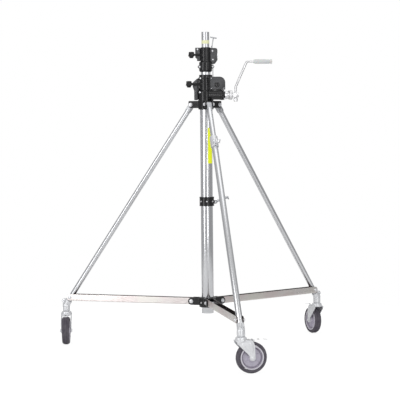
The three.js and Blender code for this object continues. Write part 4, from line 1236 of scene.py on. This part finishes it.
# ------------------------------------------------------------------ stage, light and camera
def stage():
    """A white floor that takes soft shadows near the object and fades into the white surroundings."""
    reach, steps = 1.7, 96
    mesh = bpy.data.meshes.new("studio_floor")
    rim = [(reach * math.cos(2 * math.pi * k / steps), reach * math.sin(2 * math.pi * k / steps), 0.0)
           for k in range(steps)]
    mesh.from_pydata(rim, [], [list(range(steps))])
    floor = bpy.data.objects.new("studio_floor", mesh)
    bpy.context.scene.collection.objects.link(floor)
    floor.matrix_world = COLUMN
    s = Shader("studio_white", (0.9, 0.9, 0.9), 0.0, 0.9, "object")
    s.blend_color(s.noise(0.6, 2.0), (0.88, 0.88, 0.88))
    distance = s.nodes.new("ShaderNodeVectorMath")
    distance.operation = "LENGTH"
    s.wire(s.coords, distance.inputs[0])
    fade = s.ramp(distance.outputs["Value"], 0.5, 1.2, 0.9, 1.5)
    seen = s.nodes.new("ShaderNodeMath")
    seen.operation = "MULTIPLY"
    from_camera = s.nodes.new("ShaderNodeLightPath").outputs["Is Camera Ray"]
    s.wire(fade, seen.inputs[0])
    s.wire(from_camera, seen.inputs[1])
    s.set("Emission Color", (1.0, 1.0, 1.0, 1.0))
    s.wire(seen.outputs["Value"], s.shader.inputs["Emission Strength"])
    # The camera sees partly through the floor: the column stays put as the legs fold, so the folded
    # casters hang below the level that they stand on at rest.
    s.wire(s.ramp(from_camera, 1.0, 0.18, 0.0, 1.0), s.shader.inputs["Alpha"])
    mesh.materials.append(s.material)


# The studio round the object: how bright it is at each angle from the camera's side, in degrees.
SOFT_BOXES = ((-180, 0.7), (-100, 0.6), (-74, 0.5), (-66, 1.0), (-34, 1.0), (-27, 0.62), (-6, 0.62), (0, 1.0),
              (34, 1.0), (42, 0.5), (110, 0.55), (180, 0.7))
WORLD_STRENGTH = 0.62
CAMERA = dict(turn=math.radians(10.98), distance=6.0, height=0.899, pitch=math.radians(2.60),
              roll=math.radians(-0.52), focal=1434.4 / 400, shift=-0.017)


def camera():
    data = bpy.data.cameras.new("camera")
    data.sensor_width = 36.0
    data.lens = CAMERA["focal"] * 36.0
    data.shift_x = CAMERA["shift"]
    seen = bpy.data.objects.new("camera", data)
    bpy.context.scene.collection.objects.link(seen)
    turn, distance = CAMERA["turn"], CAMERA["distance"]
    place = Matrix.Translation((-distance * math.sin(turn), -distance * math.cos(turn), CAMERA["height"]))
    look = Matrix.Rotation(-turn, 4, "Z") @ Matrix.Rotation(math.pi / 2 - CAMERA["pitch"], 4, "X")
    seen.matrix_world = COLUMN @ place @ look @ Matrix.Rotation(CAMERA["roll"], 4, "Z")
    bpy.context.scene.camera = seen


def node_in(nodes, kind, operation=None, **inputs):
    """A shader node with some of its inputs set, each named with _ for a space."""
    node = nodes.new("ShaderNode" + kind)
    if operation:
        node.operation = operation
    for name, value in inputs.items():
        node.inputs[name.replace("_", " ")].default_value = value
    return node


def studio_world():
    """White to the camera. To everything else: tall soft boxes, with grey flags between them."""
    world = bpy.data.worlds.new("studio")
    bpy.context.scene.world = world
    world.use_nodes = True
    nodes, wire = world.node_tree.nodes, world.node_tree.links.new
    nodes.clear()
    turn = node_in(nodes, "VectorRotate", Angle=CAMERA["turn"])
    turn.rotation_type = "Z_AXIS"
    split = node_in(nodes, "SeparateXYZ")
    back = node_in(nodes, "Math", "MULTIPLY")
    back.inputs[1].default_value = -1.0
    angle = node_in(nodes, "Math", "ARCTAN2")
    share = node_in(nodes, "MapRange", From_Min=-math.pi, From_Max=math.pi)
    ramp = node_in(nodes, "ValToRGB")
    set_stops(ramp, [((degrees + 180) / 360, (level, level, level * 1.01)) for degrees, level in SOFT_BOXES])
    overhead = node_in(nodes, "MapRange", From_Min=0.3, From_Max=0.9)
    mix = node_in(nodes, "Mix")
    mix.data_type = "RGBA"
    mix.inputs["B"].default_value = (0.95, 0.95, 0.95, 1.0)
    lit = node_in(nodes, "Background", Strength=WORLD_STRENGTH)
    plain = node_in(nodes, "Background", Color=(1.0, 1.0, 1.0, 1.0))
    choose = node_in(nodes, "MixShader")
    for source, target in (
        (node_in(nodes, "TexCoord").outputs["Generated"], turn.inputs["Vector"]),
        (turn.outputs["Vector"], split.inputs["Vector"]),
        (split.outputs["Y"], back.inputs[0]),
        (split.outputs["X"], angle.inputs[0]),
        (back.outputs["Value"], angle.inputs[1]),
        (angle.outputs["Value"], share.inputs["Value"]),
        (share.outputs["Result"], ramp.inputs["Fac"]),
        (split.outputs["Z"], overhead.inputs["Value"]),
        (overhead.outputs["Result"], mix.inputs["Factor"]),
        (ramp.outputs["Color"], mix.inputs["A"]),
        (mix.outputs["Result"], lit.inputs["Color"]),
        (node_in(nodes, "LightPath").outputs["Is Camera Ray"], choose.inputs["Fac"]),
        (lit.outputs["Background"], choose.inputs[1]),
        (plain.outputs["Background"], choose.inputs[2]),
        (choose.outputs["Shader"], node_in(nodes, "OutputWorld").inputs["Surface"]),
    ):
        wire(source, target)


def area_light(name, place, size, power, target=(0.0, 0.0, 0.7)):
    data = bpy.data.lights.new(name, "AREA")
    data.shape = "RECTANGLE"
    data.size, data.size_y = size
    data.energy = power
    light = bpy.data.objects.new(name, data)
    bpy.context.scene.collection.objects.link(light)
    light.location = COLUMN @ Vector(place)
    light.rotation_euler = (Vector(target) - Vector(place)).to_track_quat("-Z", "Y").to_euler()


def lights():
    area_light("key_left", (-3.2, -3.4, 2.8), (1.4, 2.4), 22)
    area_light("key_right", (2.6, -4.0, 2.6), (1.2, 2.4), 16)
    area_light("top", (0.2, -0.4, 4.2), (3.0, 3.0), 18, (0.0, 0.0, 0.0))
    area_light("back", (0.0, 2.6, 3.6), (5.0, 1.5), 14, (0.0, 3.5, 0.0))
    for name, degrees, width, power in (("strip_left", -50.0, 0.6, 22), ("strip_right", 16.0, 0.5, 19)):
        turn = math.radians(degrees) - CAMERA["turn"]
        area_light(name, (4.5 * math.sin(turn), -4.5 * math.cos(turn), 1.1), (width, 3.0), power)


# ------------------------------------------------------------------ build
column_tubes()
films()
winch_casting()
winch_plates()
worm_cap()
winch_screws()
leg_top_bolts()
mid_collar()
latch()
knobs()
crank()
riser_casting()
riser_plates()
clamp_screw()
cable()
hub()
braces()
leg_tubes()
levelling()
for side in SIDES:
    socket(side)
casters()
kept_nodes()
stage()
camera()
studio_world()
lights()

view = bpy.context.scene.view_settings
view.view_transform = "Standard"
view.look = "None"
